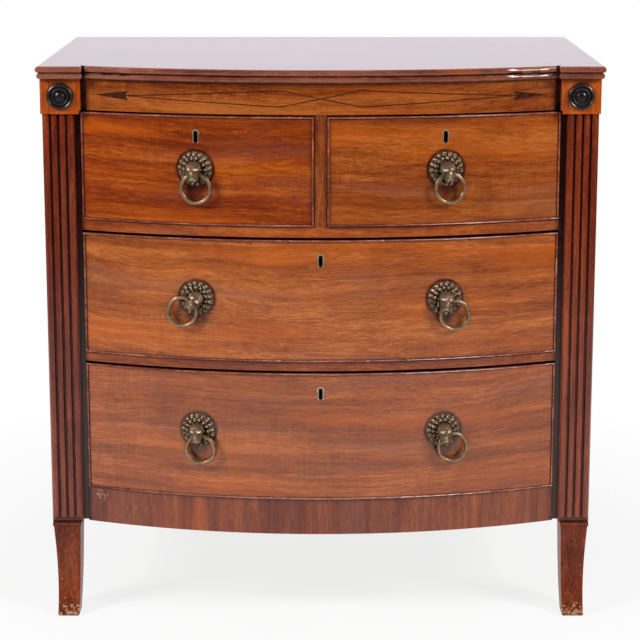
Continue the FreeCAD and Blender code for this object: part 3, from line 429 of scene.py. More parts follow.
def apron_chips(tree, where):
    """A few flakes round one knock at the left end of the apron."""
    away = place(tree, "VectorMath", {0: where, 1: APRON_KNOCK}, operation="DISTANCE").outputs["Value"]
    flakes = noise(tree, where, (230.0, 230.0, 230.0), detail=3.0, rough=0.6)
    near = remap(tree, away, KNOCK_REACH, 0.004, -0.3, 0.09)
    return maths(tree, "MULTIPLY", remap(tree, maths(tree, "ADD", flakes, near), 0.56, 0.62), 0.6)


# %% [markdown]
# ## Boards of the carcass
# The same log gave the rest of the outside, cut and turned as each part needs: along the rails and the
# top, upright in the posts, the sides, the legs and the crossbanded apron. In the grooves of the reeds the
# painted shade is dark red with old polish, on other boards it is dark with old wax, and the legs have lost
# most of their film.

# %% Top, frieze and posts
finish(["top"], polished("polished top", rgb(92, 40, 26), rgb(122, 60, 40), rgb(150, 84, 60), seed=6.0,
                         streak=1.4, gloss=0.09))
finish(["frieze"], polished("frieze veneer", rgb(108, 42, 8), rgb(146, 72, 24), rgb(176, 97, 37), seed=7.2,
                            squeeze=BENT))
finish(["corner_block_left", "corner_block_right"],
       polished("corner block veneer", rgb(126, 48, 10), rgb(164, 70, 18), rgb(196, 98, 36), ALONG_Z, 8.1))
# The dark red in the grooves of the reeds is painted shade together with old polish.
finish(["pilaster_left", "pilaster_right"],
       polished("reeded posts", rgb(76, 20, 7), rgb(112, 40, 17), rgb(150, 64, 28), ALONG_Z, 9.4, soot_and_shade=1.3,
                dirt_and_shade=rgb(54, 10, 3), glowing=0.1))

# %% Legs, sides, rails and apron
finish(["front_leg_left", "front_leg_right", "back_legs"],
       polished("legs", rgb(76, 28, 15), rgb(110, 48, 30), rgb(140, 70, 40), ALONG_Z, 10.2, wear_and_sheen=0.9,
                film=0.15, marks=toe_chips))
finish(["side_left", "side_right"],
       polished("side panels", rgb(84, 34, 18), rgb(118, 54, 30), rgb(150, 80, 46), ALONG_Z, 11.5))
finish(["rail_upper"],
       polished("upper rail", rgb(108, 42, 12), rgb(146, 66, 24), rgb(180, 98, 46), ALONG_X, 12.3, BENT))
finish(["rail_lower"],
       polished("lower rail", rgb(96, 34, 6), rgb(134, 57, 12), rgb(168, 88, 34), ALONG_X, 16.8, BENT))
finish(["muntin"], polished("muntin", rgb(98, 38, 14), rgb(138, 64, 26), rgb(172, 96, 44), ALONG_Z, 15.1))
finish(["apron"],
       polished("crossbanded apron", rgb(88, 32, 12), rgb(120, 51, 20), rgb(148, 76, 38), ALONG_Z, 13.7, BENT,
                ripple=0.3, marks=apron_chips))
# The pale top edges of the beads are partly rubbed wood and partly a painted highlight.
finish(["cockbeads_" + drawer for drawer in DRAWERS],
       polished("cockbeads", rgb(94, 36, 24), rgb(134, 64, 46), rgb(186, 120, 100), ALONG_X, 14.4, soot_and_shade=1.2,
                wear_and_sheen=0.9))

# %% [markdown]
# ## Dark woods
# The stringing in the frieze is ebony, and the turned roundels are a plain wood stained black to look like
# it. Both are polished, and the stain has worn brown on the highest rings.


# %% Ebony and ebonised wood
def black_wood(name, deep, pale, seed, shine):
    """Nearly black wood: a faint long grain, a soft shine and brown rubbed edges."""
    material, tree, shader = new_material(name, Coat_Roughness=0.25, Coat_Weight=shine, Specular_IOR_Level=0.1)
    where = object_place(tree)
    grain = noise(tree, where, (20.0, 400.0, 400.0), detail=3.0, shift=(seed, seed, seed))
    rub_and_sheen = use(tree, wear_and_sheen_group, {"Vector": where, "Radius": 0.001, "Amount": 0.6})["Mask"]
    colour = blend(tree, remap(tree, grain, 0.35, 0.65), deep, pale)
    fill(tree, shader.inputs["Base Color"], blend(tree, rub_and_sheen, colour, rgb(74, 44, 30)))
    fill(tree, shader.inputs["Roughness"], remap(tree, grain, 0.2, 0.8, 0.22, 0.42))
    bump = place(tree, "Bump", {"Strength": 0.2, "Distance": 0.0002, "Height": grain})
    fill(tree, shader.inputs["Normal"], bump.outputs[0])
    return material


finish(["frieze_inlay"], black_wood("ebony stringing", rgb(50, 20, 10), rgb(70, 32, 16), 1.0, shine=0.3))
finish(["roundels"], black_wood("ebonised roundels", rgb(22, 17, 18), rgb(36, 29, 29), 2.0, shine=0.5))

# %% [markdown]
# ## Wood that never saw polish
# The back, the boards between the drawers and the drawer linings are bare pine and oak. They have gone grey
# brown with dust, and their grain stands out: upright in the back, crosswise in the wide boards, and from
# front to back in the strips and the drawer sides.


# %% Bare wood
def bare_wood(name, deep, pale, grain, seed, band=26.0):
    """Unpolished wood: broad growth bands, fine fibres and drifting dust stains."""
    material, tree, shader = new_material(name, roughness=0.75)
    where = object_place(tree, grain)
    bands = noise(tree, where, (1.2, band, band), detail=5.0, rough=0.65, shift=(seed, seed, seed))
    fibre = noise(tree, where, (14.0, 420.0, 420.0), detail=2.0)
    stain = noise(tree, where, (3.0, 3.0, 3.0), detail=4.0, shift=(seed, 0.0, seed))
    level = maths(tree, "ADD", maths(tree, "MULTIPLY", bands, 0.75), maths(tree, "MULTIPLY", fibre, 0.25))
    colour = blend(tree, remap(tree, level, 0.38, 0.62), deep, pale)
    colour = blend(tree, remap(tree, stain, 0.45, 0.75, 0.0, 0.55), colour, deep)
    # Darker corners: painted shade together with old dust.
    wax_and_shade = use(tree, grime_and_shade_group, {"Vector": where, "Reach": 0.02, "Amount": 0.7})["Mask"]
    fill(tree, shader.inputs["Base Color"], blend(tree, wax_and_shade, colour, rgb(52, 38, 26)))
    fill(tree, shader.inputs["Roughness"], remap(tree, stain, 0.3, 0.7, 0.62, 0.85))
    bump = place(tree, "Bump", {"Strength": 0.5, "Distance": 0.0004, "Height": level})
    fill(tree, shader.inputs["Normal"], bump.outputs[0])
    return material


finish(["back_boards"], bare_wood("pine back", rgb(102, 66, 42), rgb(154, 111, 74), ALONG_Z, 1.0))
finish(["dustboard_upper", "dustboard_lower", "bottom_board", "top_frame"],
       bare_wood("pine boards", rgb(110, 78, 46), rgb(166, 128, 84), ALONG_X, 2.0))
finish(["drawer_guides", "drawer_stops", "glue_blocks"],
       bare_wood("pine strips", rgb(110, 78, 46), rgb(166, 128, 84), ALONG_Y, 3.0))
finish(["box_" + drawer for drawer in DRAWERS],
       bare_wood("oak drawer sides", rgb(124, 82, 50), rgb(174, 128, 84), ALONG_Y, 4.0, band=45.0))
finish(["bottom_" + drawer for drawer in DRAWERS],
       bare_wood("oak drawer bottoms", rgb(124, 88, 50), rgb(172, 132, 84), ALONG_X, 5.0, band=34.0))

# %% [markdown]
# ## Old brass
# The locks and pulls are cast brass. Where nobody touches it the metal has turned brown, nearly black in
# the hollows, and rubbing keeps the high spots paler. The castings made below carry a map of how high each
# spot stands, so that the patina follows their shape. On the snout the map also makes its outer side and
# its brows paler, partly as rubbed brass and partly as a painted highlight.


# %% Brass
def brass(name, hollow, body, bright, relief=None):
    """Patinated brass: relief (a named attribute) or openness picks between hollow, body and bright."""
    material, tree, shader = new_material(name, Metallic=0.7)
    where = object_place(tree)
    blotch = noise(tree, where, (160.0, 160.0, 160.0), detail=4.0, rough=0.6)
    pits = noise(tree, where, (900.0, 900.0, 900.0), detail=2.0)
    if relief:
        height = place(tree, "Attribute", attribute_name=relief).outputs["Fac"]
    else:
        height = place(tree, "AmbientOcclusion", {"Distance": 0.003}, samples=8).outputs["AO"]
    level = maths(tree, "ADD", height, maths(tree, "MULTIPLY", maths(tree, "SUBTRACT", blotch, 0.5), 0.7))
    colour = blend(tree, remap(tree, level, 0.15, 0.55), hollow, body)
    colour = blend(tree, remap(tree, level, 0.62, 1.0), colour, bright)
    fill(tree, shader.inputs["Base Color"], colour)
    fill(tree, shader.inputs["Roughness"], remap(tree, level, 0.2, 1.0, 0.62, 0.30))
    grain = maths(tree, "ADD", maths(tree, "MULTIPLY", blotch, 0.6), maths(tree, "MULTIPLY", pits, 0.4))
    bump = place(tree, "Bump", {"Strength": 0.35, "Distance": 0.0003, "Height": grain})
    fill(tree, shader.inputs["Normal"], bump.outputs[0])
    return material


lock_brass = brass("lock brass", rgb(40, 28, 20), rgb(126, 102, 80), rgb(190, 168, 142))
finish(["lock_" + drawer for drawer in DRAWERS] + ["bolt_" + drawer for drawer in DRAWERS], lock_brass)
mask_brass = brass("mask brass", rgb(56, 38, 27), rgb(118, 93, 68), rgb(216, 190, 160), relief="relief")
ring_brass = brass("ring brass", rgb(42, 27, 16), rgb(92, 68, 44), rgb(164, 134, 102), relief="relief")

# %% [markdown]
# ## Keyholes
# Each lock shows the rim of its brass escutcheon. The hole and the brass beside it are painted black,
# partly as painted shade of the opening and partly as generations of furniture wax gone black. The black is a
# colour over the brass, with no shape of its own.

# %% Painted shade and black wax in the keyholes
KEY_DROP = 0.030                  # from the top of the lock down to the round end of its hole
SLOT_LENGTH = 0.0135
HOLE_SHADE_AND_WAX_RADIUS = 0.0033
HOLE_SHADE_AND_WAX_EDGE = 0.0006
BLACK_HOLE_SHADE_AND_WAX = rgb(12, 9, 8)


def paint_keyhole_shade_and_wax(material, holes):
    """Paints the brass round each hole black, as painted shade of the opening with old deposits. A hole is an
    upright line, and the black is everything nearer to that line than its radius, seen from the front."""
    tree = material.node_tree
    base = tree.nodes["Principled BSDF"].inputs["Base Color"]
    colour = base.links[0].from_socket
    split = place(tree, "SeparateXYZ", {0: object_place(tree)}).outputs
    hole_shade_and_wax = 0.0
    for hole_x, hole_z in holes:
        below = maths(tree, "SUBTRACT", hole_z, split["Z"])
        beyond = maths(tree, "MAXIMUM", maths(tree, "SUBTRACT", below, SLOT_LENGTH),
                       maths(tree, "SUBTRACT", 0.0, below))
        beyond = maths(tree, "MAXIMUM", beyond, 0.0)
        aside = maths(tree, "SUBTRACT", split["X"], hole_x)
        away = maths(tree, "SQRT", maths(tree, "ADD", maths(tree, "MULTIPLY", beyond, beyond),
                                         maths(tree, "MULTIPLY", aside, aside)), 0.0)
        hole_shade_and_wax = maths(tree, "MAXIMUM", hole_shade_and_wax, remap(tree, away, HOLE_SHADE_AND_WAX_RADIUS + HOLE_SHADE_AND_WAX_EDGE, HOLE_SHADE_AND_WAX_RADIUS))
    fill(tree, base, blend(tree, hole_shade_and_wax, colour, BLACK_HOLE_SHADE_AND_WAX))


lock_boxes = [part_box("lock_" + drawer) for drawer in DRAWERS]
keyholes = [((low[0] + high[0]) / 2, high[2] - KEY_DROP) for low, high in lock_boxes]
paint_keyhole_shade_and_wax(lock_brass, keyholes)
print("keyholes at", [tuple(round(value, 3) for value in hole) for hole in keyholes])

# %% [markdown]
# ## Where the pulls hang
# Each ring turns on a line through the lion's mouth. That line is known from the joint, and everything else
# about a pull follows from it: the way out of the drawer is level and square to the line, and the middle of
# the rosette lies a short way up and back from the mouth.

# %% Places of the pulls
MOUTH_STAND_OFF = 0.011           # from the drawer front out to the line the ring turns on
MOUTH_DROP = 0.008                # from the middle of the rosette down to that line
RING_RADIUS = 0.0250
WIRE_RADIUS = 0.0034


def pull_place(joint):
    """Origin and the three directions (right, out, up) of one pull."""
    right = -np.array(joint["axis"], float)
    right /= np.linalg.norm(right)
    out = np.array([right[1], -right[0], 0.0])
    out /= np.linalg.norm(out)
    up = np.cross(out, right)
    hinge = np.array(joint["pos_m"], float)
    return hinge - out * MOUTH_STAND_OFF + up * MOUTH_DROP, right, out, up


pulls = {joint["child"]: pull_place(joint) for joint in frame["joints"]
         if joint["child"].endswith("_ring_pull")}
first_middle = pulls["short_left_ring_pull"][0]
print(len(pulls), "pulls, the first at", [round(float(value), 3) for value in first_middle])

# %% [markdown]
# ## Old polish and painted shadow round the pulls
# Close round each rosette the wood is painted dark red, old polish that no cloth reached together with
# painted shade where the rosette meets the wood. Under the snout, in the middle of the ring, the same red is a
# painted shadow of the mask. How far a point of the veneer lies from each pull decides it, and since the
# distance is taken on the drawer itself, the painted darkening moves with the drawer.

# %% Old polish and painted shadow round the rosettes
ROSETTE_RADIUS = 0.0302
POLISH_AND_SHADE_RING = 0.0060
# A painted shadow of the mask lies this far below the middle of each rosette.
SHADOW_UNDER_SNOUT = np.array((0.0, 0.0, -0.031))
OLD_POLISH_AND_SHADOW = rgb(56, 11, 5)


def paint_polish_and_shadow_round(material, centres):
    """Paints the wood dark red: round each rosette as old polish with painted shade, and under the snout, in
    the middle of the ring, as a painted shadow of the mask."""
    tree = material.node_tree
    base = tree.nodes["Principled BSDF"].inputs["Base Color"]
    colour = base.links[0].from_socket
    where = object_place(tree)
    patchy = remap(tree, noise(tree, where, (60.0, 60.0, 60.0)), 0.3, 0.7, 0.65, 1.0)
    spots = [(centre + SHADOW_UNDER_SNOUT, 1.1 * RING_RADIUS, 0.4 * RING_RADIUS) for centre in centres]
    spots += [(centre, ROSETTE_RADIUS + POLISH_AND_SHADE_RING, ROSETTE_RADIUS + 0.002) for centre in centres]
    near = 0.0
    for middle, fade_start, darkest_at in spots:
        away = place(tree, "VectorMath", {0: where, 1: tuple(middle)}, operation="DISTANCE").outputs["Value"]
        near = maths(tree, "MAXIMUM", near, remap(tree, away, fade_start, darkest_at))
    fill(tree, base, blend(tree, maths(tree, "MULTIPLY", near, patchy), colour, OLD_POLISH_AND_SHADOW))


for drawer, veneer in veneers.items():
    paint_polish_and_shadow_round(veneer, [pull[0] for body, pull in pulls.items() if body.startswith(drawer)])
print("old polish and painted shadow round", len(pulls), "rosettes")

# %% [markdown]
# ## From points to a piece
# A casting is a sheet of points, so many rows by so many columns, and the whole sheet is worked out at
# once. The faces only say which four neighbours belong together. Every point also keeps a number for its
# relief, which the brass above reads.


# %% Faces of a grid
def grid_faces(rows, columns, wrap_rows=False):
    """Quads of a grid whose points are numbered row by row. A row closes on itself, and with wrap_rows the
    last row joins the first."""
    row = np.arange(rows if wrap_rows else rows - 1)[:, None]
    column = np.arange(columns)[None, :]
    next_row, next_column = (row + 1) % rows, (column + 1) % columns
    corners = [row * columns + column, row * columns + next_column,
               next_row * columns + next_column, next_row * columns + column]
    return np.stack(corners, axis=-1).reshape(-1, 4)


# %% Pieces
def make_piece(name, points, faces, relief, material, body):
    """A mesh from points, four-cornered faces and a height map, riding on a body."""
    mesh = bpy.data.meshes.new(name)
    mesh.from_pydata(points.tolist(), [], faces.tolist())
    layer = mesh.attributes.new("relief", "FLOAT", "POINT")
    layer.data.foreach_set("value", relief.astype(np.float32))
    mesh.polygons.foreach_set("use_smooth", np.ones(len(mesh.polygons), bool))
    mesh.materials.append(material)
    piece = bpy.data.objects.new(name, mesh)
    bpy.context.scene.collection.objects.link(piece)
    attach(piece, body)
    return piece


def outward_faces(mesh):
    """Joins points that coincide, as at a pole, drops faces without area and turns the rest outwards."""
    work = bmesh.new()
    work.from_mesh(mesh)
    bmesh.ops.remove_doubles(work, verts=work.verts, dist=1e-6)
    bmesh.ops.dissolve_degenerate(work, edges=work.edges, dist=1e-7)
    bmesh.ops.recalc_face_normals(work, faces=work.faces)
    work.to_mesh(mesh)
    work.free()


def set_on_drawer(local, place_of_pull):
    """Points given as (right, out, up) from the rosette's middle, moved to their place on the chest."""
    origin, right, out, up = place_of_pull
    return origin + local[:, :1] * right + local[:, 1:2] * out + local[:, 2:] * up


# %% [markdown]
# ## Lion masks
# The rosette is one casting: a disc with three rows of curls for a mane, a hollow collar, and the head. Its
# face can be pressed from a flat plate, so it is a height above every point of a disc. The snout can't: the
# ring passes behind it. It is a second skin, an egg-shaped arch from the brow over the ring to the chin.

# %% Curls
ROWS_OF_CURLS = (                 # for each row: how many, on what circle, how wide and how high
    (17, 0.0254, 0.0048, 0.0044),
    (14, 0.0190, 0.0043, 0.0050),
    (11, 0.0146, 0.0036, 0.0044),
)
CURL_TURNS = 6.5


def curls_over(x, z):
    """Height of the curls over points of the disc: each is a round bump whose height swings along a spiral,
    and neighbours wind opposite ways."""
    curls = np.zeros_like(x)
    for row, (count, circle, size, rise) in enumerate(ROWS_OF_CURLS):
        for step in range(count):
            turn = 2 * math.pi * (step + 0.5 * (row % 2)) / count
            away_x, away_z = x - circle * math.sin(turn), z - circle * math.cos(turn)
            away = np.hypot(away_x, away_z) / size
            way = 1 if step % 2 else -1
            spiral = np.cos(way * (np.arctan2(away_z, away_x) - turn) - away * CURL_TURNS)
            curls = np.maximum(curls, rise * np.sqrt(np.clip(1 - away ** 2, 0, 1)) * (0.72 + 0.28 * spiral))
    return curls


# %% Mane
DOME, RIM = 0.0036, 0.0012        # the bare disc: its rise to the middle and its edge
COLLAR, COLLAR_WIDTH, COLLAR_DEPTH = 0.0142, 0.0018, 0.0034
COLLAR_DROP, COLLAR_SQUEEZE = 0.004, 0.8    # its middle sits low, and it is taller than it is wide
CUT_ABOVE = 0.004                 # lower than this the collar leaves the mane as it is
JAW_LINE = -0.0045                # below it the mouth is open for the ring
FACE_BOSS, UNDER_RING = 0.0115, 0.0062
FACE_RADIUS, SLOPE = 0.0125, 0.002
EDGE_STEEPNESS = 26


def mane(rings=110, spokes=256):
    """Height over a disc whose outline follows the outer curls as a row of lobes: a low dome and the curls,
    a collar hollowed out as a bell curve across its circle, and a flat boss for the face. Under the jaw
    line nothing is higher than the ring leaves room for."""
    share = np.linspace(0.0, 1.0, rings)[:, None]
    angle = np.linspace(0.0, 2 * math.pi, spokes, endpoint=False)[None, :]
    lobes = ROWS_OF_CURLS[0][0]
    edge = ROSETTE_RADIUS * (0.955 + 0.045 * np.abs(np.cos(angle * lobes / 2)) ** 0.7)
    radius = share * edge
    x, z = radius * np.sin(angle), radius * np.cos(angle)
    height = DOME * np.sqrt(np.clip(1 - (radius / ROSETTE_RADIUS) ** 2, 0, 1)) + RIM
    height = height + curls_over(x, z)
    collar = np.exp(-((np.hypot(x, (z + COLLAR_DROP) * COLLAR_SQUEEZE) - COLLAR) / COLLAR_WIDTH) ** 2)
    height = height - COLLAR_DEPTH * collar * (height > CUT_ABOVE)
    boss = np.clip((z - JAW_LINE) / SLOPE, 0, 1) * np.clip((FACE_RADIUS - np.hypot(x, z)) / SLOPE, 0, 1)
    height = height + (FACE_BOSS - height) * boss
    height = np.where(z < JAW_LINE, np.minimum(height, UNDER_RING), height)
    return x, z, height * np.clip((1 - share) * EDGE_STEEPNESS, 0, 1) ** 0.5


def disc_with_back(x, z, height):
    """Closes the height map with its flat back: front rings from the middle out, then back rings in."""
    rows, columns = height.shape
    y_front = np.maximum(height, 0.0002)
    front = np.stack([x + 0 * height, y_front, z + 0 * height], axis=-1).reshape(-1, 3)
    back_shares = np.array([1.0, 0.5, 0.0])[:, None]
    back_x, back_z = x[-1:] * back_shares, z[-1:] * back_shares
    back = np.stack([back_x, np.zeros_like(back_x), back_z], axis=-1).reshape(-1, 3)
    return np.concatenate([front, back]), grid_faces(rows + 3, columns)


# %% [markdown]
# The snout is an oval swept along a bent line, as a modeller would roll it in wax before pressing the eyes
# and the mouth into it. A sweep keeps its thickness where the ring passes behind. Brows, nose and pads are
# bell curves added to the outer side, because bell curves melt into each other as worn brass does.


# %% Smooth lines
def smooth_line(values, count):
    """A Catmull-Rom curve through the rows of values, sampled evenly: each span is a cubic that leaves
    and meets its neighbours along the line between the points on both sides."""
    values = values.reshape(len(values), -1)
    padded = np.concatenate([2 * values[:1] - values[1:2], values, 2 * values[-1:] - values[-2:-1]])
    spot = np.linspace(0, len(values) - 1 - 1e-9, count)
    base = spot.astype(int)
    t = (spot - base)[:, None]
    p0, p1, p2, p3 = padded[base], padded[base + 1], padded[base + 2], padded[base + 3]
    return 0.5 * (2 * p1 + (p2 - p0) * t + (2 * p0 - 5 * p1 + 4 * p2 - p3) * t ** 2
                  + (3 * p1 - p0 - 3 * p2 + p3) * t ** 3)


# %% Face
FACE = (                          # along the arch, aside from its middle, length, width and height
    (0.40, 0.0062, 0.040, 0.0030, 0.0030),      # brows
    (0.48, 0.0068, 0.026, 0.0022, -0.0016),     # eyes
    (0.57, 0.0, 0.110, 0.0030, 0.0013),         # bridge of the nose
    (0.71, 0.0, 0.026, 0.0042, 0.0012),         # nose
    (0.735, 0.0020, 0.010, 0.0010, -0.0009),    # nostrils
    (0.78, 0.0044, 0.050, 0.0032, 0.0012),      # whisker pads
    (0.79, 0.0, 0.040, 0.0006, -0.0009),        # groove of the lip
    (0.86, 0.0, 0.013, 0.0065, -0.0012),        # mouth
    (0.91, 0.0, 0.030, 0.0034, 0.0008),         # chin
)


def carve(rise, share, x, front):
    """Adds the features of the face to the rise of the snout. Each is a bell curve, or a pair of them where
    it stands aside from the middle, and fades towards the back of the snout."""
    for at_share, aside, length, width, height in FACE:
        reach = ((share - at_share) / length) ** 2
        bells = sum(np.exp(-reach - ((x - way * aside) / width) ** 2) for way in ((1, -1) if aside else (1,)))
        rise = rise + height * front * bells
    return rise


# %% Snout
SNOUT_PATH = np.array([(0.0030, 0.0100), (0.0100, 0.0092), (0.0158, 0.0048), (0.0188, -0.0015),
                       (0.0198, -0.0080), (0.0194, -0.0135), (0.0148, -0.0178), (0.0040, -0.0176)])
SNOUT_WIDTH = np.array([0.0058, 0.0108, 0.0130, 0.0127, 0.0110, 0.0096, 0.0084, 0.0062])
SNOUT_THICKNESS = np.array([0.0030, 0.0042, 0.0048, 0.0048, 0.0048, 0.0044, 0.0036, 0.0026])


def snout(rows=96, columns=72):
    """An oval carried along the arch from brow to chin, with the face carved on its outer side and both
    ends drawn together to a point."""
    path = smooth_line(SNOUT_PATH, rows)
    width = smooth_line(SNOUT_WIDTH, rows)
    thick = smooth_line(SNOUT_THICKNESS, rows)
    along = np.gradient(path, axis=0)
    along /= np.linalg.norm(along, axis=1, keepdims=True)
    outward = np.stack([-along[:, 1], along[:, 0]], axis=1)
    if outward[rows // 2, 0] < 0:
        outward = -outward
    share = np.linspace(0, 1, rows)[:, None]
    angle = np.linspace(0, 2 * math.pi, columns, endpoint=False)[None, :]
    side, face = np.sin(angle), np.cos(angle)
    x = width * np.sign(side) * np.abs(side) ** 0.85
    rise = carve(thick * face, share, x, np.clip(face, 0, 1))
    points = np.stack([x + 0 * rise, path[:, :1] + outward[:, :1] * rise, path[:, 1:] + outward[:, 1:] * rise],
                      axis=-1)
    # The shine paints the outer side of the snout and its raised brows, nose and chin paler, partly as rubbed
    # brass and partly as a painted highlight.
    shine = np.clip(0.26 + 0.20 * face + (rise / thick - face) * 1.5, 0, 1.15)
    start, end = points[:1].mean(1, keepdims=True), points[-1:].mean(1, keepdims=True)
    caps = [np.repeat(start, columns, 1), points, np.repeat(end, columns, 1)]
    shine = np.concatenate([shine[:1], shine, shine[-1:]])
    return np.concatenate(caps).reshape(-1, 3), grid_faces(rows + 2, columns), shine.reshape(-1)


# %% Cast one mask
NEIGHBOURS = range(-9, 10, 3)     # steps round the disc
RELIEF_GAIN = 260                 # relief for each metre of height


def cast_mask():
    """The whole mask once, facing out: points, faces and relief. The relief of the mane is how far a point
    stands above the mean of its neighbours round the disc."""
    x, z, height = mane()
    points, faces = disc_with_back(x, z, height)
    blurred = sum(np.roll(height, step, axis=1) for step in NEIGHBOURS) / len(NEIGHBOURS)
    relief = np.clip(0.50 + (height - blurred) * RELIEF_GAIN, 0, 1.1).reshape(-1)
    relief = np.concatenate([relief, np.zeros(len(points) - len(relief))])
    snout_points, snout_faces, shine = snout()
    faces = np.concatenate([faces, snout_faces + len(points)])
    return np.concatenate([points, snout_points]), faces, np.concatenate([relief, shine])


mask_points, mask_faces, mask_relief_and_shine = cast_mask()
print("a mask has", len(mask_faces), "faces")

# %% [markdown]
# The masks are screwed to the fronts from inside. The rings stand where the last hand left them, but the
# heads were screwed on nearly upright, and only one has worked round with its ring.

# %% Screw the masks on
# Degrees that each chin points aside, to the viewer's right.
CHIN_TURNS = {"short_left": 0.0, "short_right": 9.0, "long_upper_left": -38.0,
              "long_upper_right": -7.0, "long_lower_left": 1.0, "long_lower_right": 3.0}


def upright(place_of_pull, chin_turn):
    """The place of a pull with its head level, but for the degrees that its chin points aside."""
    origin, _, out, _ = place_of_pull
    plumb = np.array((0.0, 0.0, 1.0))
    level = np.cross(plumb, out)
    angle = math.radians(chin_turn)
    return (origin, math.cos(angle) * level + math.sin(angle) * plumb, out,
            math.cos(angle) * plumb - math.sin(angle) * level)


for drawer in DRAWERS:
    for body in [body for body in pulls if body.startswith(drawer)]:
        pull = body.removesuffix("_ring_pull")
        label = "lion_mask_" + pull
        head = set_on_drawer(mask_points, upright(pulls[body], CHIN_TURNS[pull]))
        piece = make_piece(label, head, mask_faces, mask_relief_and_shine, mask_brass, drawer + "_drawer")
        outward_faces(piece.data)
        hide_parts("masks_" + drawer)
        print(label, len(piece.data.polygons), "faces")

# %% [markdown]
# ## Rings
# A ring is a circle of round wire. A cast one is never quite even, so its thickness swells and narrows by
# a few hundredths, and its front is rubbed brighter than its back.


# %% Ring
def ring(seed, around=120, section=28):
    """A circle swept by a smaller circle whose radius changes slowly along the way."""
    long = np.linspace(0, 2 * math.pi, around, endpoint=False)[:, None]
    short = np.linspace(0, 2 * math.pi, section, endpoint=False)[None, :]
    uneven = 0.975 + 0.015 * np.sin(3 * long + seed) + 0.010 * np.sin(7 * long + 2 * seed)
    wire = WIRE_RADIUS * uneven
    radius = RING_RADIUS + wire * np.cos(short)
    x = radius * np.sin(long)
    out = MOUTH_STAND_OFF + wire * np.sin(short)
    up = radius * np.cos(long) - MOUTH_DROP - RING_RADIUS
    points = np.stack([x + 0 * out, out + 0 * x, up + 0 * out], axis=-1).reshape(-1, 3)
    relief = np.clip(0.5 + 0.42 * np.sin(short) + 0 * long, 0, 1).reshape(-1)
    return points, grid_faces(around, section, wrap_rows=True), relief


# %% Hang the rings
for number, (body, where) in enumerate(pulls.items()):
    node = "ring_" + body.removesuffix("_ring_pull")
    points, faces, relief = ring(number * 1.3)
    piece = make_piece("pull_" + node, set_on_drawer(points, where), faces, relief, ring_brass, body)
    outward_faces(piece.data)
    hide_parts(node)
print("rings made:", len(pulls))

# %% [markdown]
# ## Floor and light
# A pale floor, a pale sky, and two soft lamps, one high on each side in front. In mirrors the sky is white
# behind the chest and dim in front of it, as in a studio, so that the polished top shines and the drawer
# fronts keep their depth.


# %% Floor
FLOOR_REACH = 30.0
WHITE = (1.0, 1.0, 1.0, 1.0)
PLAIN_NEAR = 0.82                 # how much of the floor is plain white to the eye near the chest
DIM = 0.03                        # what mirrors get from the far floor and from the sky in front


def pale_floor():
    """A wide floor, plain white to the eye far away. Near the chest a part of it is lit like any other
    surface, enough for a soft shadow. In mirrors it is white near the chest and dim further off."""
    mesh = bpy.data.meshes.new("floor")
    corners = [(x * FLOOR_REACH, y * FLOOR_REACH, 0) for x, y in ((-1, -1), (1, -1), (1, 1), (-1, 1))]
    mesh.from_pydata(corners, [], [(0, 1, 2, 3)])
    floor = bpy.data.objects.new("floor", mesh)
    bpy.context.scene.collection.objects.link(floor)
    floor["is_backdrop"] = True
    material, tree, shader = new_material("pale floor", roughness=0.9)
    where = tree.nodes.new("ShaderNodeTexCoord").outputs["Object"]
    distance = place(tree, "VectorMath", {0: where}, operation="LENGTH").outputs["Value"]
    cloud = remap(tree, noise(tree, where, (3.0, 3.0, 3.0)), 0.3, 0.7)
    fill(tree, shader.inputs["Base Color"], blend(tree, cloud, rgb(236, 236, 236), rgb(242, 242, 242)))
    rays = tree.nodes.new("ShaderNodeLightPath").outputs
    seen = maths(tree, "MAXIMUM", rays["Is Camera Ray"], rays["Is Transmission Ray"])
    share = maths(tree, "MULTIPLY", seen, remap(tree, distance, 0.3, 1.4, PLAIN_NEAR, 1.0))
    lit = place(tree, "Emission", {"Color": WHITE, "Strength": 1.0})
    mixed = place(tree, "MixShader", {0: share, 1: shader.outputs[0], 2: lit.outputs[0]})
    mirrored = place(tree, "Emission", {"Color": WHITE, "Strength": remap(tree, distance, 1.4, 4.2, 1.0, DIM)})
    both = place(tree, "MixShader", {0: rays["Is Glossy Ray"], 1: mixed.outputs[0], 2: mirrored.outputs[0]})
    fill(tree, tree.nodes["Material Output"].inputs["Surface"], both.outputs[0])
    mesh.materials.append(material)


pale_floor()
print("the floor reaches", FLOOR_REACH, "m to each side")


# %% Sky
SOFT_SKY = 0.14                   # what the sky gives the room, next to the white that the eye sees
COOL = (1.0, 0.96, 1.06, 1.0)     # its tint in mirrors


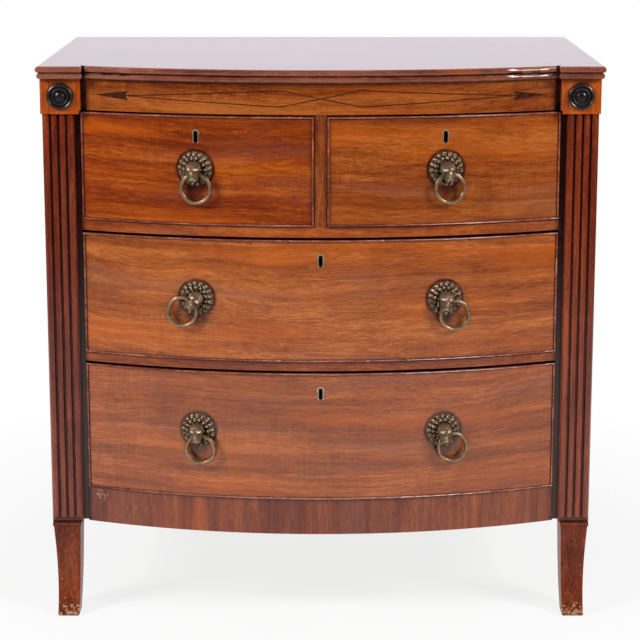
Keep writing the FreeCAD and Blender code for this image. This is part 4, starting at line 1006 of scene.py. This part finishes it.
def sky():
    """White to the eye, and in mirrors white behind the chest and dim in front of it."""
    world = bpy.data.worlds.new("studio")
    bpy.context.scene.world = world
    world.use_nodes = True
    tree = world.node_tree
    background = tree.nodes["Background"]
    rays = tree.nodes.new("ShaderNodeLightPath").outputs
    direction = tree.nodes.new("ShaderNodeTexCoord").outputs["Generated"]
    across = place(tree, "SeparateXYZ", {0: direction}).outputs["Y"]
    mirrored = remap(tree, across, -0.5, 0.35, DIM, 1.0)
    strength = maths(tree, "ADD", SOFT_SKY, maths(tree, "MULTIPLY", rays["Is Camera Ray"], 1.0 - SOFT_SKY))
    glossy = maths(tree, "MULTIPLY", rays["Is Glossy Ray"], maths(tree, "SUBTRACT", mirrored, SOFT_SKY))
    fill(tree, background.inputs["Strength"], maths(tree, "ADD", strength, glossy))
    fill(tree, background.inputs["Color"], blend(tree, rays["Is Glossy Ray"], WHITE, COOL))


sky()
print("the sky gives", SOFT_SKY)

# %% [markdown]
# The lamps stand high at both sides of the front. So the reeds and the pulls get soft shadows below and
# beside them, and neither lamp is mirrored in the middle of a drawer. The left one is a little stronger.


# %% Lamps
def softbox(name, position, aim, size, watts):
    """A rectangular lamp that looks at a point."""
    lamp = bpy.data.lights.new(name, "AREA")
    lamp.shape = "RECTANGLE"
    lamp.size, lamp.size_y = size
    lamp.energy = watts
    holder = bpy.data.objects.new(name, lamp)
    bpy.context.scene.collection.objects.link(holder)
    holder.location = position
    step = [to - start for start, to in zip(position, aim)]
    flat = math.hypot(step[0], step[1])
    holder.rotation_euler = (math.atan2(flat, -step[2]), 0.0, math.atan2(step[1], step[0]) - math.pi / 2)


MIDDLE = (0.0, -0.15, 0.55)       # of the chest's front
LAMP_SIZE = (1.1, 1.1)
for label, position, watts in (("high left lamp", (-3.0, -1.9, 2.6), 126.0),
                               ("high right lamp", (3.0, -1.9, 2.6), 115.0)):
    softbox(label, position, MIDDLE, LAMP_SIZE, watts)
    print(label, watts, "W")

# %% [markdown]
# ## Colours on the screen, and the last measure
# The Standard view shows every colour as it was mixed, without the softer curve that films use. The boxes
# of the frame and of the finished chest are then written down, to see that no casting sticks out of it.

# %% View settings
bpy.context.scene.view_settings.view_transform = "Standard"

# %% Sizes and the end
visual_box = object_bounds()
growth = [round(float(after - before) * 1000, 2) for before, after in zip(cad_box[1], visual_box[1])]
print("grown by", growth, "mm")
